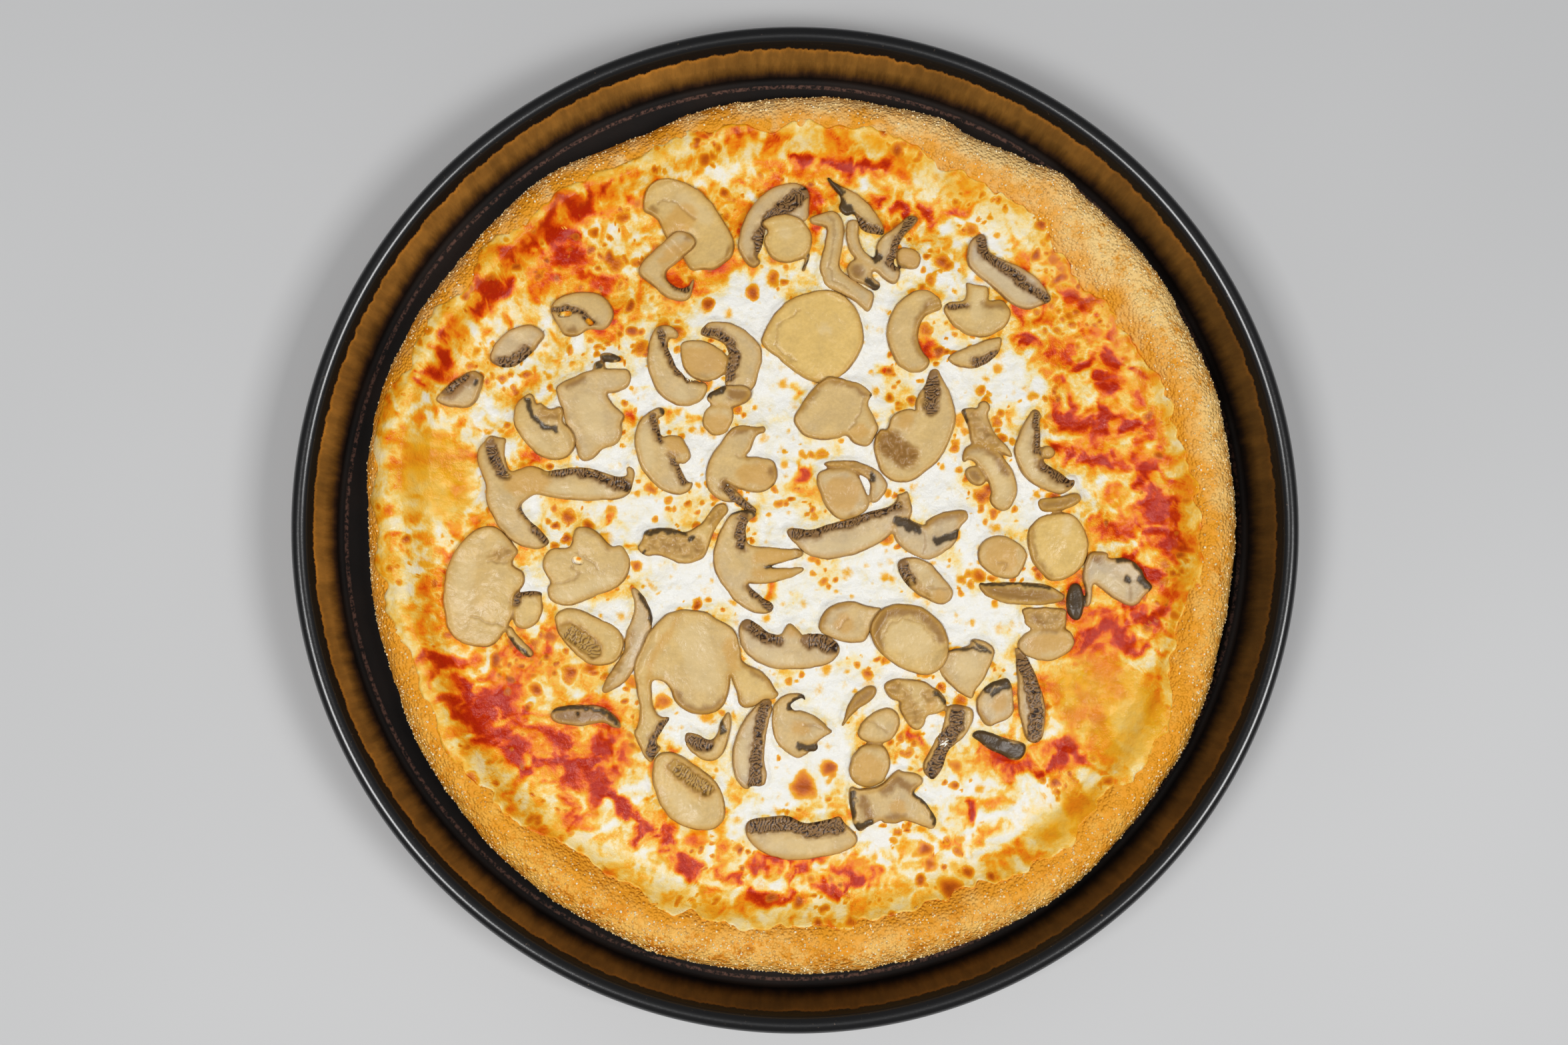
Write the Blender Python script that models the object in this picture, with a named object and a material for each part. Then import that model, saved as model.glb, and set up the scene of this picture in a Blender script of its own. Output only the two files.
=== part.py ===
"""Deep dish pizza with sliced mushrooms, baked and served in its round black pan.

Units are metres, +Z is up, and the origin is the middle of the pan's underside.
The mushroom slices are listed in millimetres and scaled as they are built.
"""
import math

import bmesh
import bpy
from mathutils import Vector

MM = 0.001
GAP = 0.3 * MM              # clearance between pieces that touch
TURN_STEPS = 68             # facets round the pan and the pizza

# Pan: turned steel sheet with a solid rolled bead at the top
PAN_BEAD_RADIUS = 3.25 * MM
PAN_OUTER_RADIUS = 184.0 * MM
PAN_HEIGHT = 39.85 * MM
PAN_SHEET = 1.4 * MM
PAN_FOOT_RADIUS = 173.4 * MM
PAN_NECK_RADIUS = 177.2 * MM
PAN_NECK_HEIGHT = 33.0 * MM
PAN_CORNER = 2.0 * MM
PAN_BEAD_STEPS = 7

# Pizza: hand-stretched dough, a little off the pan's middle
PIZZA_CENTRE = Vector((2.9 * MM, -1.4 * MM, 0.0))
DOUGH_RADIUS = 165.4 * MM
DOUGH_BASE = PAN_SHEET + GAP
DOUGH_FLAT_TOP = 9.5 * MM
RIM_CREST_INSET = 10.5 * MM
# Dough section from its underside, over the rim and down to the flat middle:
# distance in from the widest edge, height above the pan's underside
DOUGH_SECTION = (
    (7.0, 1.75), (2.8, 2.8), (0.7, 5.4), (0.0, 9.0), (0.9, 13.0), (3.2, 16.8),
    (6.5, 19.4), (10.5, 20.4), (14.5, 19.4), (18.0, 16.6), (21.5, 13.0), (25.0, 10.6),
)
RIM_FOOT_INSET = 29.0 * MM
FLAT_RINGS = (0.72, 0.36)
# Bulges and hollows of the edge: direction in degrees, reach in mm, width in degrees
EDGE_BUMPS = (
    (0, -1.8, 10), (38, 1.4, 8), (54, 2.4, 2.5), (66, -1.8, 4), (72, 1.6, 3),
    (113, -2.4, 7), (128, 0.9, 5), (158, 2.2, 9), (186, -2.0, 13), (204, -1.4, 8),
    (235, 1.0, 18), (280, -0.5, 6), (306, 2.2, 5), (343, -1.2, 9),
)
# Finer unevenness: height in mm, waves per turn, where they start in radians
EDGE_WAVES = ((0.35, 9, 0.4), (0.25, 17, 2.1))
CREST_WAVES = ((0.7, 5, 1.0), (0.5, 11, 2.6), (0.35, 23, 0.0))
CREST_SPREAD = 7 * MM
# Where the bare rim is wider or narrower: direction, share of its width, spread in degrees
RIM_WIDTHS = ((48, 0.26, 24), (100, -0.12, 20), (140, -0.22, 26), (225, -0.14, 24), (270, 0.06, 25))

# Sauce and cheese, thin layers that follow the dough
SAUCE_THICKNESS = 1.2 * MM
SAUCE_EDGE_INSET = 22.5 * MM
SAUCE_WAVES = ((1.5, 7, 0.6), (0.9, 13, 2.0))
EDGE_THINNING = 0.45
CHEESE_THICKNESS = 1.4 * MM
CHEESE_RADIUS = 121.0 * MM
CHEESE_WAVES = ((1.2, 11, 1.4), (0.8, 19, 0.3))
CHEESE_RINGS = (1.0, 0.96, 0.66, 0.33)
CHEESE_TO_RIM = 1.5 * MM
# Tongues and bays of the cheese's edge: direction, reach in mm, width in degrees
CHEESE_TONGUES = (
    (38, 8, 9), (18, -16, 10), (58, 7, 9), (90, 9, 14), (120, -5, 9), (140, 2, 8),
    (172, 8, 12), (200, 14, 9), (219, -10, 8), (248, 6, 9), (272, -2, 8), (292, 8, 14),
    (322, -2, 8), (350, 12, 9),
)

# Mushroom slices: each lies flat, rounded along its top edge
SLICE_THICKNESS = 3.3 * MM
SLICE_EDGE = 0.9 * MM
SLICE_STEP_DOWN = 0.12 * MM     # each further lobe of a slice is this much thinner
LARGE_DISC = 9.0                # mm: half length above which a disc has more facets
LARGE_DISC_FACETS = 13
SMALL_DISC_FACETS = 8
SPINE_STEP = 7.5                # mm between points along a curved slice
SPINE_MOST = 5                  # most steps along a curved slice
END_TURNS = (36, -36)           # degrees: the points over a slice's round end
CUT_BELOW = 5 * MM              # how far a trimming tool reaches under and over a slice's base
CUT_ABOVE = 15 * MM
WELD_DISTANCE = 0.03 * MM
SLIVER = 0.02 * MM
SCRAP_SHARE = 0.12              # a trimmed-off scrap has less than this share of its slice's skin

# Forms, in mm on the pizza's top seen from above:
# ("disc", x, y, half length, half width, turn in degrees)
# ("arc", start x, y, middle x, y, end x, y, width)
# ("bar", start x, y, end x, y, width)
# Slices are laid in this order: a later one lies over an earlier one.
SLICES = {
    "whole_slice_big_crown": [
        ("arc", -51, 124, -34, 119.5, -31, 103.3, 14.8), ("bar", -41, 116, -46, 112, 13)],
    "whole_slice_hooked": [
        ("bar", -54, 100.5, -43, 107, 11), ("arc", -55.5, 98, -52, 91, -42.5, 88.7, 8.5)],
    "cap_slice_top": [
        ("arc", -17, 102, -17.5, 115, -3, 127, 9.5), ("arc", -12, 113, -8, 119.5, 2, 124.5, 8)],
    "disc_slice_on_cap": [("disc", -3.5, 109, 9.7, 9.7, 0)],
    "gill_slice_long": [
        ("arc", 16, 130, 25, 122, 32.5, 113.5, 7.5), ("bar", 17, 122.5, 19.5, 116, 6),
        ("arc", 7, 116, 14, 117.5, 14.5, 108, 7.5), ("arc", 14, 111, 12.5, 99, 18, 93, 8.5),
        ("bar", 17, 93, 26.5, 85, 7.5)],
    "gill_slice_curled": [
        ("arc", 43, 117.5, 34, 107, 37, 95.5, 6.8), ("bar", 40, 102.5, 43, 102, 9),
        ("arc", 21.5, 114.5, 22, 107, 31, 99, 4.6), ("disc", 24, 97, 5, 4.4, -20),
        ("bar", 26.5, 94, 30, 91.5, 4)],
    "disc_slice_big": [("disc", 6, 73, 20, 17.5, 0)],
    "cap_slice_open": [
        ("arc", 49, 86, 39.5, 74, 46.5, 62, 11.5), ("disc", 52, 84.2, 3.8, 3.4, 0)],
    "whole_slice_anchor": [
        ("arc", 59, 82.5, 68, 76.5, 78, 82, 8.5), ("bar", 68, 83, 68.5, 89, 9)],
    "cap_slice_slim": [("arc", 60.5, 64.5, 68, 66.3, 75.5, 69, 6.8)],
    "cap_slice_grey": [
        ("arc", 68.5, 107.5, 73, 96.5, 88, 88.5, 12.5), ("bar", 78, 96, 92, 90, 8.5)],
    "whole_slice_arch": [
        ("arc", -89.5, 81.5, -80, 85.3, -72.5, 77.8, 8), ("bar", -83, 81, -84.5, 74.5, 8)],
    "cap_slice_oval": [("disc", -104.5, 68.5, 12.3, 6.8, 35)],
    "gill_slice_outer": [("bar", -131, 51, -122.5, 53.3, 10)],
    "cap_slice_broad": [
        ("bar", -79, 48, -75.5, 36, 20), ("bar", -85, 52.5, -66, 57, 8.5)],
    "cap_slice_folded": [
        ("arc", -100.5, 46, -100, 33, -87.5, 33.5, 10), ("disc", -92.5, 41.5, 4.6, 4.2, -20)],
    "cap_slice_pair": [
        ("arc", -51.5, 73, -53.5, 62, -49.5, 51.5, 7), ("arc", -50.5, 72, -46, 61, -37, 55.5, 4),
        ("disc", -41.5, 50.8, 8.6, 5.8, 8), ("bar", -50, 75, -47, 73.8, 4.6)],
    "whole_slice_barrel": [
        ("arc", -32, 75, -19, 67, -19.5, 54, 9.5), ("arc", -31, 73.5, -25, 67, -27, 58.5, 4.5),
        ("bar", -39, 63.5, -29.5, 63, 13)],
    "stem_piece_pair": [
        ("disc", -25, 49.3, 8.6, 4.4, 8), ("disc", -30, 40.4, 6.8, 6.2, 0)],
    "cap_slice_left_middle": [
        ("arc", -54, 41.5, -54.8, 27, -43.5, 15.5, 10.5), ("bar", -47.5, 31, -43.5, 28.5, 8.5)],
    "whole_slice_middle": [
        ("arc", -16.5, 35.5, -28.5, 25, -28, 12.5, 10.5), ("bar", -24, 20.3, -12, 20, 12.5),
        ("disc", -21.5, 31, 5.5, 4.5, 0)],
    "frill_slice_middle": [
        ("disc", -45.5, -7, 14, 6.6, -3), ("bar", -36, -4, -29.5, 3, 6)],
    "cap_slice_rounded": [
        ("disc", 26.5, 38.5, 6, 8.5, -25), ("disc", 32, 43.5, 3.8, 3.8, 0),
        ("disc", 13.5, 44.5, 14.3, 12, 8)],
    "stem_piece_barrel": [
        ("bar", 15.5, 16.5, 19.5, 9.5, 15.5), ("bar", 15, 23.5, 27, 22.5, 4),
        ("arc", 29.5, 21.5, 31.5, 16.5, 29, 11, 4.6)],
    "whole_slice_heart": [
        ("arc", 52.5, 55, 55.5, 38, 43, 24, 13), ("disc", 42, 38, 7.3, 7, 0),
        ("disc", 39, 28.5, 9.8, 10.8, 0)],
    "cap_slice_long": [
        ("arc", 2.5, -6, 18, -4.5, 32, 1.5, 12.5), ("disc", 40, 8, 4.6, 5.6, 0),
        ("arc", 40.5, -1, 47, -7, 57.5, -4.5, 9.5), ("bar", 52, 0.5, 62, 4.5, 5.5)],
    "whole_slice_forked": [
        ("arc", -18, 4.5, -27.5, -11, -14, -28.5, 9.5), ("bar", -25, -10.5, -0.5, -9.3, 6.4),
        ("bar", -25, -17.2, 0.5, -17.2, 6), ("bar", -25, -14, -15, -14, 8)],
    "cap_slice_bent": [
        ("arc", 66.8, 28, 76.5, 21.5, 79.3, 10.5, 8.6), ("disc", 67.5, 20.5, 5.2, 3.8, -15),
        ("arc", 64.5, 43, 68.5, 36, 73, 30, 7), ("disc", 71, 44, 3, 4, 0)],
    "cap_slice_right": [
        ("arc", 89.8, 41.5, 87.6, 26, 100.5, 15.2, 10.5), ("disc", 94.6, 28.3, 3.2, 3, 0)],
    "disc_slice_golden": [
        ("arc", 92, 8.6, 98.5, 7.8, 105.5, 11.3, 5.5), ("disc", 98.5, -7, 11.8, 12.6, 0)],
    "disc_slice_brown": [("disc", 77, -11, 10, 9.3, -10)],
    "cap_slice_far_right": [
        ("disc", 118, -19.5, 12, 7.6, -18), ("bar", 126, -17, 131, -21, 6),
        ("bar", 111, -11.5, 115.5, -10.8, 4.5), ("disc", 106, -27.5, 4.2, 7, -15)],
    "gill_slice_brown": [("arc", 72, -24, 85, -24.4, 97, -25.5, 8.4)],
    "stem_piece_stack": [
        ("bar", 89, -33.5, 98.5, -33.8, 7.6), ("disc", 94, -43.3, 10.8, 6.6, 5)],
    "cap_slice_browned": [
        ("disc", 47.5, -17.5, 9.8, 6, -28), ("disc", 53.8, -26, 4.9, 4.2, 0),
        ("bar", 43, -21, 49, -25.5, 4)],
    "cap_slice_under_ring": [("disc", 18.5, -34.8, 10.8, 8, -5)],
    "cap_slice_pale": [
        ("disc", 65.5, -51.5, 9.5, 7.5, -15), ("disc", 65.5, -60, 3, 3.4, 0),
        ("disc", 69.5, -45, 4.5, 3, -20)],
    "disc_slice_ringed": [("disc", 42, -42, 16, 12.3, -28)],
    "cap_slice_smile": [
        ("arc", -17, -38.5, -5, -48.5, 12, -45.3, 9), ("disc", 7, -43.6, 8, 4.8, -12),
        ("disc", -1.5, -40.5, 3.6, 4, 0)],
    "cap_slice_leaning": [("arc", -59.5, -26, -60, -42, -70.5, -61.5, 8)],
    "whole_slice_largest": [
        ("bar", -37.5, -44, -37, -59.5, 22), ("disc", -38, -43, 15, 12, 0),
        ("bar", -50, -44, -50, -51, 8), ("arc", -50, -38, -57, -58, -54, -82, 8.5),
        ("bar", -24, -47.5, -14, -61, 12)],
    "bean_slice_left": [("disc", -77.5, -41, 14, 9.7, -35)],
    "whole_slice_knot": [
        ("disc", -88, -14.5, 6.8, 7, 0), ("bar", -78.5, -4.8, -74, -12, 9),
        ("disc", -69, -15.3, 7.6, 7.8, 0), ("arc", -88, -24, -78, -20.5, -68, -17, 11)],
    "whole_slice_far_left": [
        ("arc", -114, -6.5, -125, -22, -118, -38, 13.5), ("bar", -119, -22, -110, -23, 18),
        ("bar", -112, -8.5, -107.5, -9.5, 6), ("disc", -100.6, -31, 5.8, 6.8, 0),
        ("arc", -106.5, -36, -104, -43, -99, -47.5, 4)],
    "whole_slice_wishbone": [
        ("arc", -114.5, 30.5, -110.5, 10, -96.8, -3.8, 9.5), ("bar", -107, 14.5, -99.5, 18.3, 11),
        ("arc", -91.5, 16.6, -79, 15.5, -66, 15.7, 9.8), ("disc", -62, 20, 3, 4, 0)],
    "gill_slice_dark": [("arc", -88.5, -70.3, -78, -70, -67.5, -73, 7)],
    "cap_slice_small": [
        ("arc", -37.5, -82, -30, -82.3, -26, -72.8, 6.3), ("disc", -36.5, -79.8, 5, 3.8, -25)],
    "gill_slice_upright": [("arc", -17, -93, -18, -80, -13, -69.5, 10.6)],
    "whole_slice_pointed": [
        ("arc", 0, -65.8, -4.3, -75, 1, -82.6, 8), ("bar", -1, -74.5, 6.5, -75, 9.5),
        ("bar", 6, -75, 12, -76, 4)],
    "bean_slice_bottom": [("disc", -40.3, -97.8, 16.8, 11.8, -48)],
    "cap_slice_bottom": [("arc", -11, -115, 2, -116.3, 15, -114.5, 15.8)],
    "disc_slice_stack": [
        ("arc", 20.5, -72, 24.5, -67, 28, -62, 6.8), ("disc", 30.5, -74.5, 8, 7.2, 35),
        ("disc", 27.3, -88.6, 8.2, 8.4, 0)],
    "frill_slice_right": [
        ("disc", 37.5, -60.3, 5.4, 3.6, 0), ("bar", 40, -62, 45.5, -72, 8),
        ("disc", 51.5, -65, 5.8, 5.6, 0), ("arc", 58.8, -68, 56.3, -81, 51, -90.5, 8.6)],
    "disc_slice_dark_edge": [("disc", 74.6, -66.2, 7.8, 8.2, 0)],
    "gill_slice_lens": [
        ("arc", 85, -49.8, 87.9, -63, 89.2, -76.5, 9), ("arc", 69.5, -79.5, 77, -81.6, 85, -82.8, 7.6)],
    "whole_slice_three_armed": [
        ("bar", 33, -99, 25.5, -108.5, 8.6), ("bar", 35, -96.5, 42.5, -94.5, 7.6),
        ("arc", 37, -99, 44.5, -103, 50.5, -109.5, 8.4), ("bar", 36, -100, 36.3, -106.3, 7.6)],
}

# Finishes: base colour, roughness, metallic
FINISHES = {
    "pan_steel": ((0.018, 0.016, 0.015), 0.35, 0.6),
    "baked_dough": ((0.80, 0.56, 0.26), 0.75, 0.0),
    "tomato_sauce": ((0.62, 0.09, 0.015), 0.35, 0.0),
    "melted_cheese": ((0.87, 0.76, 0.50), 0.35, 0.0),
    "mushroom": ((0.55, 0.38, 0.18), 0.40, 0.0),
}


def clear_scene():
    for old in list(bpy.data.objects):
        bpy.data.objects.remove(old, do_unlink=True)


def make_finishes():
    finishes = {}
    for name, (colour, roughness, metallic) in FINISHES.items():
        finish = bpy.data.materials.new(name)
        finish.use_nodes = True
        shader = finish.node_tree.nodes["Principled BSDF"]
        shader.inputs["Base Color"].default_value = (*colour, 1.0)
        shader.inputs["Roughness"].default_value = roughness
        shader.inputs["Metallic"].default_value = metallic
        finishes[name] = finish
    return finishes


def add_object(name, mesh, finish, sharp_degrees=40):
    mesh.materials.clear()
    mesh.materials.append(finish)
    mesh.shade_smooth()
    mesh.set_sharp_from_angle(angle=math.radians(sharp_degrees))
    piece = bpy.data.objects.new(name, mesh)
    bpy.context.scene.collection.objects.link(piece)
    return piece


def mesh_from_loops(name, loops, closed_start, closed_end):
    """Skin a stack of equal loops, and close each end with a middle point or a flat face."""
    shell = bmesh.new()
    rings = [[shell.verts.new(point) for point in loop] for loop in loops]
    count = len(rings[0])
    for lower, upper in zip(rings, rings[1:]):
        for i in range(count):
            j = (i + 1) % count
            shell.faces.new((lower[i], lower[j], upper[j], upper[i]))
    for ring, middle in ((rings[0], closed_start), (rings[-1], closed_end)):
        if middle is None:
            shell.faces.new(ring)
            continue
        hub = shell.verts.new(middle)
        for i in range(count):
            shell.faces.new((ring[i], ring[(i + 1) % count], hub))
    bmesh.ops.recalc_face_normals(shell, faces=shell.faces)
    mesh = bpy.data.meshes.new(name)
    shell.to_mesh(mesh)
    shell.free()
    return mesh


def ring_angles():
    return [2 * math.pi * i / TURN_STEPS for i in range(TURN_STEPS)]


def swell(angle, bumps):
    """Sum of soft bumps round the circle: each is (direction, height, spread), in degrees."""
    total = 0.0
    for direction, height, spread in bumps:
        away = (math.degrees(angle) - direction + 180) % 360 - 180
        total += height * math.exp(-0.5 * (away / spread) ** 2)
    return total


def ripple(angle, waves):
    """Sum of even waves round the circle, in metres."""
    return sum(height * math.sin(count * angle + start) for height, count, start in waves) * MM


# Pan

def pan_section():
    """Radius and height from the inside middle, up the wall, over the bead and back below."""
    bead_radius_at = PAN_OUTER_RADIUS - PAN_BEAD_RADIUS
    bead_height = PAN_HEIGHT - PAN_BEAD_RADIUS
    inside = [
        (PAN_FOOT_RADIUS - PAN_CORNER, PAN_SHEET),
        (PAN_FOOT_RADIUS, PAN_SHEET + PAN_CORNER),
        (PAN_NECK_RADIUS, PAN_NECK_HEIGHT),
    ]
    bead = []
    for i in range(PAN_BEAD_STEPS):
        turn = math.radians(180 - 270 * i / (PAN_BEAD_STEPS - 1))
        bead.append((bead_radius_at + PAN_BEAD_RADIUS * math.cos(turn),
                     bead_height + PAN_BEAD_RADIUS * math.sin(turn)))
    outside = [
        (PAN_NECK_RADIUS + PAN_SHEET, PAN_NECK_HEIGHT - PAN_SHEET),
        (PAN_FOOT_RADIUS + PAN_SHEET, PAN_SHEET + PAN_CORNER / 2),
        (PAN_FOOT_RADIUS, 0.0),
    ]
    return inside + bead + outside


def build_pan(finishes):
    loops = []
    for radius, height in pan_section():
        loops.append([(radius * math.cos(a), radius * math.sin(a), height) for a in ring_angles()])
    mesh = mesh_from_loops("pan", loops, (0, 0, PAN_SHEET), (0, 0, 0))
    return add_object("pan", mesh, finishes["pan_steel"], sharp_degrees=50)


# Dough

def dough_edge(angle):
    return DOUGH_RADIUS + swell(angle, EDGE_BUMPS) * MM + ripple(angle, EDGE_WAVES)


def rim_scale(angle):
    return 1.0 + swell(angle, RIM_WIDTHS)


def rim_lift(angle, inset):
    """Low uneven swells along the crest of the rim."""
    near_crest = math.exp(-((inset - RIM_CREST_INSET) / CREST_SPREAD) ** 2)
    return ripple(angle, CREST_WAVES) * near_crest


def around_pizza(radius, angle, height):
    return (PIZZA_CENTRE.x + radius * math.cos(angle),
            PIZZA_CENTRE.y + radius * math.sin(angle), height)


def top_section():
    """The dough's upper surface, from the crest of the rim inwards, in metres."""
    crest = RIM_CREST_INSET / MM
    points = [(inset * MM, height * MM) for inset, height in DOUGH_SECTION[6:] if inset >= crest]
    return points + [(RIM_FOOT_INSET, DOUGH_FLAT_TOP)]


def scaled_inset(inset, angle):
    """The rim's inner slope moves in or out where the bare rim is wider or narrower."""
    if inset <= RIM_CREST_INSET:
        return inset
    return RIM_CREST_INSET + (inset - RIM_CREST_INSET) * rim_scale(angle)


def dough_top(angle, radius):
    """Height of the dough at a distance from the pizza's middle."""
    inset = dough_edge(angle) - radius
    points = [(scaled_inset(i, angle), h + rim_lift(angle, i)) for i, h in top_section()]
    if inset >= points[-1][0]:
        return DOUGH_FLAT_TOP
    for (inset_a, height_a), (inset_b, height_b) in zip(points, points[1:]):
        if inset <= inset_b:
            share = (inset - inset_a) / (inset_b - inset_a)
            return height_a + (height_b - height_a) * share
    return DOUGH_FLAT_TOP


def rim_foot(angle):
    """Where the rim's inner slope meets the flat middle."""
    return dough_edge(angle) - scaled_inset(RIM_FOOT_INSET, angle)


def build_dough(finishes):
    loops = []
    for inset_mm, height_mm in DOUGH_SECTION:
        loop = []
        for angle in ring_angles():
            inset = inset_mm * MM
            radius = dough_edge(angle) - scaled_inset(inset, angle)
            loop.append(around_pizza(radius, angle, height_mm * MM + rim_lift(angle, inset)))
        loops.append(loop)
    for share in (1.0, *FLAT_RINGS):
        loops.append([around_pizza(rim_foot(a) * share, a, DOUGH_FLAT_TOP) for a in ring_angles()])
    loops[0] = [(x, y, DOUGH_BASE) for x, y, _ in loops[0]]
    mesh = mesh_from_loops("dough", loops, around_pizza(0, 0, DOUGH_BASE),
                           around_pizza(0, 0, DOUGH_FLAT_TOP))
    return add_object("dough", mesh, finishes["baked_dough"])


# Sauce and cheese

def sauce_edge(angle):
    return dough_edge(angle) - scaled_inset(SAUCE_EDGE_INSET, angle) + ripple(angle, SAUCE_WAVES)


def cheese_edge(angle):
    spread = CHEESE_RADIUS + swell(angle, CHEESE_TONGUES) * MM + ripple(angle, CHEESE_WAVES)
    return min(spread, rim_foot(angle) - CHEESE_TO_RIM)


def sauce_rings(angle):
    """Distances from the middle: two on the rim's slope, one at its foot, two on the flat."""
    edge = sauce_edge(angle)
    foot = rim_foot(angle)
    return [edge, (edge + foot) / 2, foot, foot * FLAT_RINGS[0], foot * FLAT_RINGS[1]]


def cheese_rings(angle):
    return [cheese_edge(angle) * share for share in CHEESE_RINGS]


def build_layer(name, rings, lift, thickness, finish):
    """A thin layer over the dough: flat lower skin, and an upper skin that thins at its edge."""
    lower = []
    upper = []
    for i in range(len(rings(0.0))):
        body = thickness * (EDGE_THINNING if i == 0 else 1.0)
        skin = [(a, rings(a)[i]) for a in ring_angles()]
        lower.append([around_pizza(r, a, dough_top(a, r) + lift) for a, r in skin])
        upper.append([around_pizza(r, a, dough_top(a, r) + lift + body) for a, r in skin])
    floor = DOUGH_FLAT_TOP + lift
    loops = lower[::-1] + upper
    mesh = mesh_from_loops(name, loops, around_pizza(0, 0, floor),
                           around_pizza(0, 0, floor + thickness))
    return add_object(name, mesh, finish)


def build_sauce(finishes):
    return build_layer("sauce", sauce_rings, GAP, SAUCE_THICKNESS, finishes["tomato_sauce"])


def build_cheese(finishes):
    lift = 2 * GAP + SAUCE_THICKNESS
    return build_layer("cheese", cheese_rings, lift, CHEESE_THICKNESS, finishes["melted_cheese"])


# Mushroom slices

def disc_outline(x, y, half_length, half_width, turn, grow):
    steps = LARGE_DISC_FACETS if half_length > LARGE_DISC else SMALL_DISC_FACETS
    spin = math.radians(turn)
    outline = []
    for i in range(steps):
        a = 2 * math.pi * i / steps
        u = (half_length + grow) * math.cos(a)
        v = (half_width + grow) * math.sin(a)
        outline.append((x + u * math.cos(spin) - v * math.sin(spin),
                        y + u * math.sin(spin) + v * math.cos(spin)))
    return outline


def band_outline(spine, width, grow):
    """Outline of a band along a spine, with round ends."""
    half = width / 2 + grow
    left = []
    right = []
    for i, (x, y) in enumerate(spine):
        ahead = spine[min(i + 1, len(spine) - 1)]
        behind = spine[max(i - 1, 0)]
        run = Vector((ahead[0] - behind[0], ahead[1] - behind[1])).normalized()
        left.append((x - run.y * half, y + run.x * half))
        right.append((x + run.y * half, y - run.x * half))
    outline = list(left)
    outline += round_end(spine[-1], spine[-2], half)
    outline += right[::-1]
    outline += round_end(spine[0], spine[1], half)
    return outline[::-1]


def round_end(tip, inner, half):
    """Points over the end of a band, between its left and right corners."""
    out = Vector((tip[0] - inner[0], tip[1] - inner[1])).normalized()
    side = Vector((-out.y, out.x))
    points = []
    for degrees in END_TURNS:
        a = math.radians(degrees)
        reach = out * math.cos(a) * half + side * math.sin(a) * half
        points.append((tip[0] + reach.x, tip[1] + reach.y))
    return points


def arc_spine(x0, y0, x1, y1, x2, y2):
    """Points along the circle through a start, a middle and an end."""
    start, middle, end = Vector((x0, y0)), Vector((x1, y1)), Vector((x2, y2))
    a = start - end
    b = middle - end
    cross = 2 * (a.x * b.y - a.y * b.x)
    if abs(cross) < 1e-6:
        return [tuple(start), tuple(middle), tuple(end)]
    across = Vector((b.y * a.length_squared - a.y * b.length_squared,
                     a.x * b.length_squared - b.x * a.length_squared)) / cross
    centre = end + across
    radius = across.length
    turns = [math.atan2(p.y - centre.y, p.x - centre.x) for p in (start, middle, end)]
    first = (turns[1] - turns[0] + math.pi) % (2 * math.pi) - math.pi
    second = (turns[2] - turns[1] + math.pi) % (2 * math.pi) - math.pi
    sweep = first + second
    steps = max(2, min(SPINE_MOST, round(abs(sweep) * radius / SPINE_STEP)))
    spine = []
    for i in range(steps + 1):
        turn = turns[0] + sweep * i / steps
        spine.append((centre.x + radius * math.cos(turn), centre.y + radius * math.sin(turn)))
    return spine


def form_outline(form, grow=0.0):
    kind, *sizes = form
    if kind == "disc":
        return disc_outline(*sizes, grow)
    if kind == "bar":
        x0, y0, x1, y1, width = sizes
        return band_outline([(x0, y0), (x1, y1)], width, grow)
    return band_outline(arc_spine(*sizes[:6]), sizes[6], grow)


def lay_height(forms):
    """Underside of a slice: on the cheese where it reaches it, and otherwise on the sauce."""
    on_sauce = DOUGH_FLAT_TOP + 2 * GAP + SAUCE_THICKNESS
    for form in forms:
        for x, y in form_outline(form):
            from_middle = Vector((x * MM, y * MM, 0)) - PIZZA_CENTRE
            angle = math.atan2(from_middle.y, from_middle.x)
            if from_middle.length < cheese_edge(angle) + GAP:
                return on_sauce + GAP + CHEESE_THICKNESS
    return on_sauce


def climb(x, y):
    """How far a slice rides up where it reaches the inner slope of the rim."""
    from_middle = Vector((x, y, 0)) - PIZZA_CENTRE
    angle = math.atan2(from_middle.y, from_middle.x)
    return dough_top(angle, from_middle.length) - DOUGH_FLAT_TOP


def slab(name, form, base, thickness):
    """One lobe of a slice, with its upper edge rounded over."""
    layers = ((0.0, base), (0.0, base + thickness - SLICE_EDGE), (-SLICE_EDGE / MM, base + thickness))
    loops = []
    for grow, height in layers:
        outline = form_outline(form, grow)
        loops.append([(x * MM, y * MM, height + climb(x * MM, y * MM)) for x, y in outline])
    return mesh_from_loops(name, loops, None, None)


def cutter(name, form, base):
    """A tall copy of a lobe, grown by the clearance, that trims what lies under it."""
    outline = form_outline(form, GAP / MM)
    below = [(x * MM, y * MM, base - CUT_BELOW) for x, y in outline]
    above = [(x * MM, y * MM, base + CUT_ABOVE) for x, y in outline]
    return mesh_from_loops(name, [below, above], None, None)


def reach(forms):
    points = [point for form in forms for point in form_outline(form, 1.0)]
    xs = [x for x, _ in points]
    ys = [y for _, y in points]
    return min(xs), min(ys), max(xs), max(ys)


def apart(forms_a, forms_b):
    a = reach(forms_a)
    b = reach(forms_b)
    return a[2] < b[0] or b[2] < a[0] or a[3] < b[1] or b[3] < a[1]


def helper(mesh):
    tool = bpy.data.objects.new(mesh.name, mesh)
    bpy.context.scene.collection.objects.link(tool)
    tool.hide_render = True
    tool.display_type = "WIRE"
    return tool


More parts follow.
